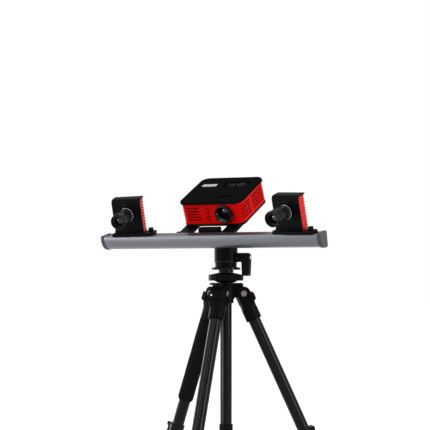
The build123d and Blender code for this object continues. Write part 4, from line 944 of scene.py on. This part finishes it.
@dataclass
class Leg:
    """One leg of the stand; sizes in millimetres from its hinge.

    Args:
        name: front, right or left.
        has_grip: whether a foam sleeve is on it.
        pin_end: outer face of the pivot pin's heads.
        eye: radius of the ears.
        stop_low: start of the angle stop along the leg.
        stop_length: its length along the leg.
        stop_proud: how far it stands out beyond the ears.
        stop_ribs: its ribs.
        rib_start: first rib beside the middle.
        rib_pitch: distance from rib to rib.
        tab_out: its tab to the other side of the middle.
        tab_width: its width.
        foot_ring_start: first ring of the foot below its upper edge.
        foot_ring_pitch: distance from ring to ring.
        foot_ring_radius: their radius.
        foot_rings_count: how many.
        grip_start: start of the foam along the leg.
        grip_length: its length.
        grip_radius: its radius.
        tube_radius: radius of the tube in it.
    """

    name: str
    has_grip: bool = False
    pin_end: float = 17.8
    eye: float = 15.5
    stop_low: float = 3.5
    stop_length: float = 19.0
    stop_proud: float = 4.5
    stop_ribs: int = 5
    rib_start: float = 1.5
    rib_pitch: float = 2.6
    tab_out: float = 10.5
    tab_width: float = 9.0
    foot_ring_start: float = 7.0
    foot_ring_pitch: float = 3.4
    foot_ring_radius: float = 14.3
    foot_rings_count: int = 3
    grip_start: float = 62.3
    grip_length: float = 201.0
    grip_radius: float = 17.8
    tube_radius: float = 13.4

    def place(self) -> Matrix:
        """Return the frame on the hinge: Z down along the leg, X towards the column."""
        down = joint_axis(f"{self.name}_leg_extend")
        pin = joint_axis(f"{self.name}_leg_fold")
        return frame_on(joint_place(f"{self.name}_leg_fold"), pin.cross(down), down)

    def dress(self) -> None:
        """Finish the CAD nodes."""
        dress(BLACK_CAST, f"{self.name}_leg_top")
        dress(BLACK_GLOSS, f"{self.name}_leg_tube", f"{self.name}_inner_tube")
        dress(BLACK_SATIN, f"{self.name}_lock_lever")
        dress(RUBBER, f"{self.name}_foot")

    def pivot_discs(self) -> None:
        """Plain discs with turned rings on the pivot pin."""
        discs = bmesh.new()
        profile = [
            (0, 0), (6.4, 0), (6.4, 0.25), (5.8, 0.35), (5.6, 0.15), (4.4, 0.15), (4.2, 0.35), (3.3, 0.35),
            (3.1, 0.15), (1.6, 0.15), (1.4, 0.35), (0, 0.35)]
        for side in (-1, 1):
            at = self.place() @ turn(-90 * side, "X") @ shift(0, 0, self.pin_end - 0.1)
            join(discs, spun(profile, at, 48))
        add_piece(f"{self.name}_pivot_discs", discs, DISC_METAL, "tripod")

    def stop_catch(self) -> None:
        """Ribs, tab and rivet on the outside of the angle stop."""
        out = shift(-self.eye - self.stop_proud, 0, self.stop_low + self.stop_length / 2)
        face = self.place() @ out @ turn(-90, "Y")
        ribs = bmesh.new()
        for i in range(self.stop_ribs):
            at = face @ shift(0, self.rib_start + self.rib_pitch * i, 0.3)
            join(ribs, bevelled_box((self.stop_length - 6, 1.3, 1.4), at, 0.4))
        add_piece(f"{self.name}_stop_ribs", ribs, BLACK_CAST, f"{self.name}_leg")
        at = face @ shift(0, -self.tab_out, -0.05)
        tab = rounded_plate(self.stop_length - 8, self.tab_width, 1.5, 2.0, at, 0.5)
        add_piece(f"{self.name}_stop_tab", tab, BLACK_SATIN, f"{self.name}_leg")
        rivet = cap_screw(2.0, 0.7, face @ shift(0, -self.tab_out, 1.4))
        add_piece(f"{self.name}_stop_rivet", rivet, STEEL, f"{self.name}_leg")

    def foot_rings(self) -> None:
        """Moulded rings round the rubber foot."""
        _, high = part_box(f"{self.name}_foot")
        down = joint_axis(f"{self.name}_leg_extend")
        along = (high[2] - joint_place(f"{self.name}_leg_fold").z) / down.z * 1000
        outer, inner = self.foot_ring_radius, self.foot_ring_radius - 0.8
        rings = bmesh.new()
        for i in range(self.foot_rings_count):
            z = along + self.foot_ring_start + self.foot_ring_pitch * i
            profile = [(inner, z - 0.9), (outer, z - 0.5), (outer, z + 0.5), (inner, z + 0.9)]
            join(rings, spun(profile, self.place(), 40))
        add_piece(f"{self.name}_foot_rings", rings, RUBBER, f"{self.name}_lower_leg")

    def grip(self) -> None:
        """Foam sleeve on the leg tube, with a soft edge and a faint swell."""
        half = self.grip_length / 2
        steps = 60
        outer = []
        for i in range(steps + 1):
            t = -1 + 2 * i / steps
            rounding = 3.2 * max(0.0, abs(t) - 0.97) / 0.03
            swell = 0.12 * math.sin(9.0 * t) + 0.08 * math.sin(23.0 * t + 1.0)
            radius = self.grip_radius - 0.25 + swell - rounding * 0.6
            outer.append((radius, self.grip_start + half + half * t))
        bore = self.tube_radius + 0.15
        inner = [(bore, outer[-1][1]), (bore, outer[0][1])]
        piece = add_piece("foam_sleeve", spun(outer + inner, self.place(), 72), FOAM, "left_leg")
        for face in piece.data.polygons:
            face.use_smooth = True
        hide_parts("foam_grip")

    def build(self) -> None:
        """Dress the leg and add its fine pieces."""
        self.dress()
        self.pivot_discs()
        self.stop_catch()
        self.foot_rings()
        if self.has_grip:
            self.grip()


@dataclass
class Spider:
    """Leg carrier in the middle of the stand."""

    def build(self) -> None:
        """Finish the carrier and its pins."""
        dress(BLACK_CAST, "spider", "leg_pins")


@dataclass
class Studio:
    """Pale studio with soft light and the photograph's camera.

    Args:
        heading: degrees the camera stands to the right of the front.
        distance: metres from the column's axis to the camera.
        height: metres of the camera above the floor.
        pitch: degrees that the camera looks up.
        left: metres to the left of the column's axis that it looks at.
        focal: focal length of its lens in millimetres.
        sensor: width of the sensor in millimetres.
        lamp_aim: metres above the floor that the lamps face.
        lamps: name, place in metres, width and height in metres, and watts of each lamp.
        world_light: strength of the surroundings as light.
        world_seen: their strength as background.
        floor_grey: base colour of the floor.
        floor_lift: brightness added to the floor where it is seen.
        floor_half: half the floor's size in metres.
    """

    heading: float = 26.4
    distance: float = 3.7
    height: float = 0.439
    pitch: float = 2.15
    left: float = 0.0242
    focal: float = 140.65
    sensor: float = 36.0
    lamp_aim: float = 0.5
    lamps: tuple[tuple[str, Point, Pair, float], ...] = (
        ("key", (-1.6, -2.6, 2.2), (1.6, 1.6), 34.0),
        ("right_strip", (2.4, -0.2, 1.0), (0.5, 1.6), 34.0),
        ("left_strip", (-2.2, 0.7, 0.8), (0.4, 1.6), 20.0),
        ("high_right", (0.8, -2.5, 2.75), (0.35, 0.9), 9.0),
        ("low_left", (-1.5, -1.5, 0.12), (1.2, 0.3), 16.0),
    )
    world_light: float = 0.4
    world_seen: float = 1.0
    floor_grey: float = 0.85
    floor_lift: float = 0.72
    floor_half: float = 30.0

    def camera(self) -> None:
        """Place the camera."""
        heading = math.radians(self.heading)
        right = Vector((math.cos(heading), math.sin(heading), 0))
        ahead = Vector((-math.sin(heading), math.cos(heading), 0))
        axis = joint_place("head_pan")
        axis.z = 0
        eye = axis - ahead * self.distance + Vector((0, 0, self.height))
        rise = self.distance * math.tan(math.radians(self.pitch))
        target = axis - right * self.left + Vector((0, 0, self.height + rise))
        data = bpy.data.cameras.new("view")
        data.lens = self.focal
        data.sensor_width = self.sensor
        data.clip_end = 100.0
        viewer = bpy.data.objects.new("view", data)
        viewer.location = eye
        viewer.rotation_euler = (target - eye).to_track_quat("-Z", "Y").to_euler()
        bpy.context.scene.collection.objects.link(viewer)
        bpy.context.scene.camera = viewer

    def lamp(self, name: str, place: Point, size: Pair, power: float) -> None:
        """Add a soft lamp that faces the beam.

        Args:
            name: lamp name.
            place: metres from the middle of the scene.
            size: width and height in metres.
            power: watts.
        """
        data = bpy.data.lights.new(name, "AREA")
        data.shape = "RECTANGLE"
        data.size, data.size_y = size
        data.energy = power
        lamp = bpy.data.objects.new(name, data)
        lamp.location = place
        aim = Vector((0, 0, self.lamp_aim)) - Vector(place)
        lamp.rotation_euler = aim.to_track_quat("-Z", "Y").to_euler()
        bpy.context.scene.collection.objects.link(lamp)

    @staticmethod
    def _seen(tree: bpy.types.NodeTree) -> bpy.types.NodeSocket:
        """Return a socket that is 1 for rays that show the background.

        Args:
            tree: node tree of the material or world.

        Returns:
            The output socket.
        """
        path = tree.nodes.new("ShaderNodeLightPath")
        held = path.outputs["Is Camera Ray"]
        for name in ("Is Glossy Ray", "Is Transmission Ray"):
            either = tree.nodes.new("ShaderNodeMath")
            either.operation = "MAXIMUM"
            tree.links.new(held, either.inputs[0])
            tree.links.new(path.outputs[name], either.inputs[1])
            held = either.outputs[0]
        return held

    def backdrop(self) -> None:
        """White surroundings: plain white to the eye, softer as light."""
        world = bpy.data.worlds.new("studio")
        bpy.context.scene.world = world
        world.use_nodes = True
        tree = world.node_tree
        ground = tree.nodes["Background"]
        ground.inputs["Color"].default_value = (1, 1, 1, 1)
        level = tree.nodes.new("ShaderNodeMapRange")
        level.inputs["To Min"].default_value = self.world_light
        level.inputs["To Max"].default_value = self.world_seen
        tree.links.new(self._seen(tree), level.inputs["Value"])
        tree.links.new(level.outputs["Result"], ground.inputs["Strength"])

    def floor(self) -> None:
        """Pale floor that keeps the shadow."""
        shape = bmesh.new()
        bmesh.ops.create_grid(shape, x_segments=1, y_segments=1, size=self.floor_half)
        mesh = bpy.data.meshes.new("floor")
        shape.to_mesh(mesh)
        shape.free()
        floor = bpy.data.objects.new("floor", mesh)
        bpy.context.scene.collection.objects.link(floor)
        made = bpy.data.materials.new("floor_paper")
        made.use_nodes = True
        tree = made.node_tree
        shader = tree.nodes["Principled BSDF"]
        shader.inputs["Base Color"].default_value = (*[self.floor_grey] * 3, 1)
        shader.inputs["Roughness"].default_value = 0.9
        shader.inputs["Specular IOR Level"].default_value = 0.0
        shader.inputs["Emission Color"].default_value = (1, 1, 1, 1)
        lift = tree.nodes.new("ShaderNodeMath")
        lift.operation = "MULTIPLY"
        lift.inputs[1].default_value = self.floor_lift
        tree.links.new(self._seen(tree), lift.inputs[0])
        tree.links.new(lift.outputs[0], shader.inputs["Emission Strength"])
        mesh.materials.append(made)

    def build(self) -> None:
        """Build the camera, the surroundings and the lamps."""
        self.camera()
        self.backdrop()
        self.floor()
        for name, place, size, power in self.lamps:
            self.lamp(name, place, size, power)
        bpy.context.scene.view_settings.view_transform = "Standard"


def main() -> None:
    """Build every sub-assembly in order."""
    logging.basicConfig(level=logging.INFO, format="%(name)s: %(message)s")
    Studio().build()
    parts = [
        Beam(), Projector(), CameraUnit("left"), CameraUnit("right"), Head(), Spider(),
        Leg("front"), Leg("right"), Leg("left", has_grip=True)]
    for part in parts:
        part.build()
        log.info("built %s", type(part).__name__)


if __name__ == "__main__":
    main()
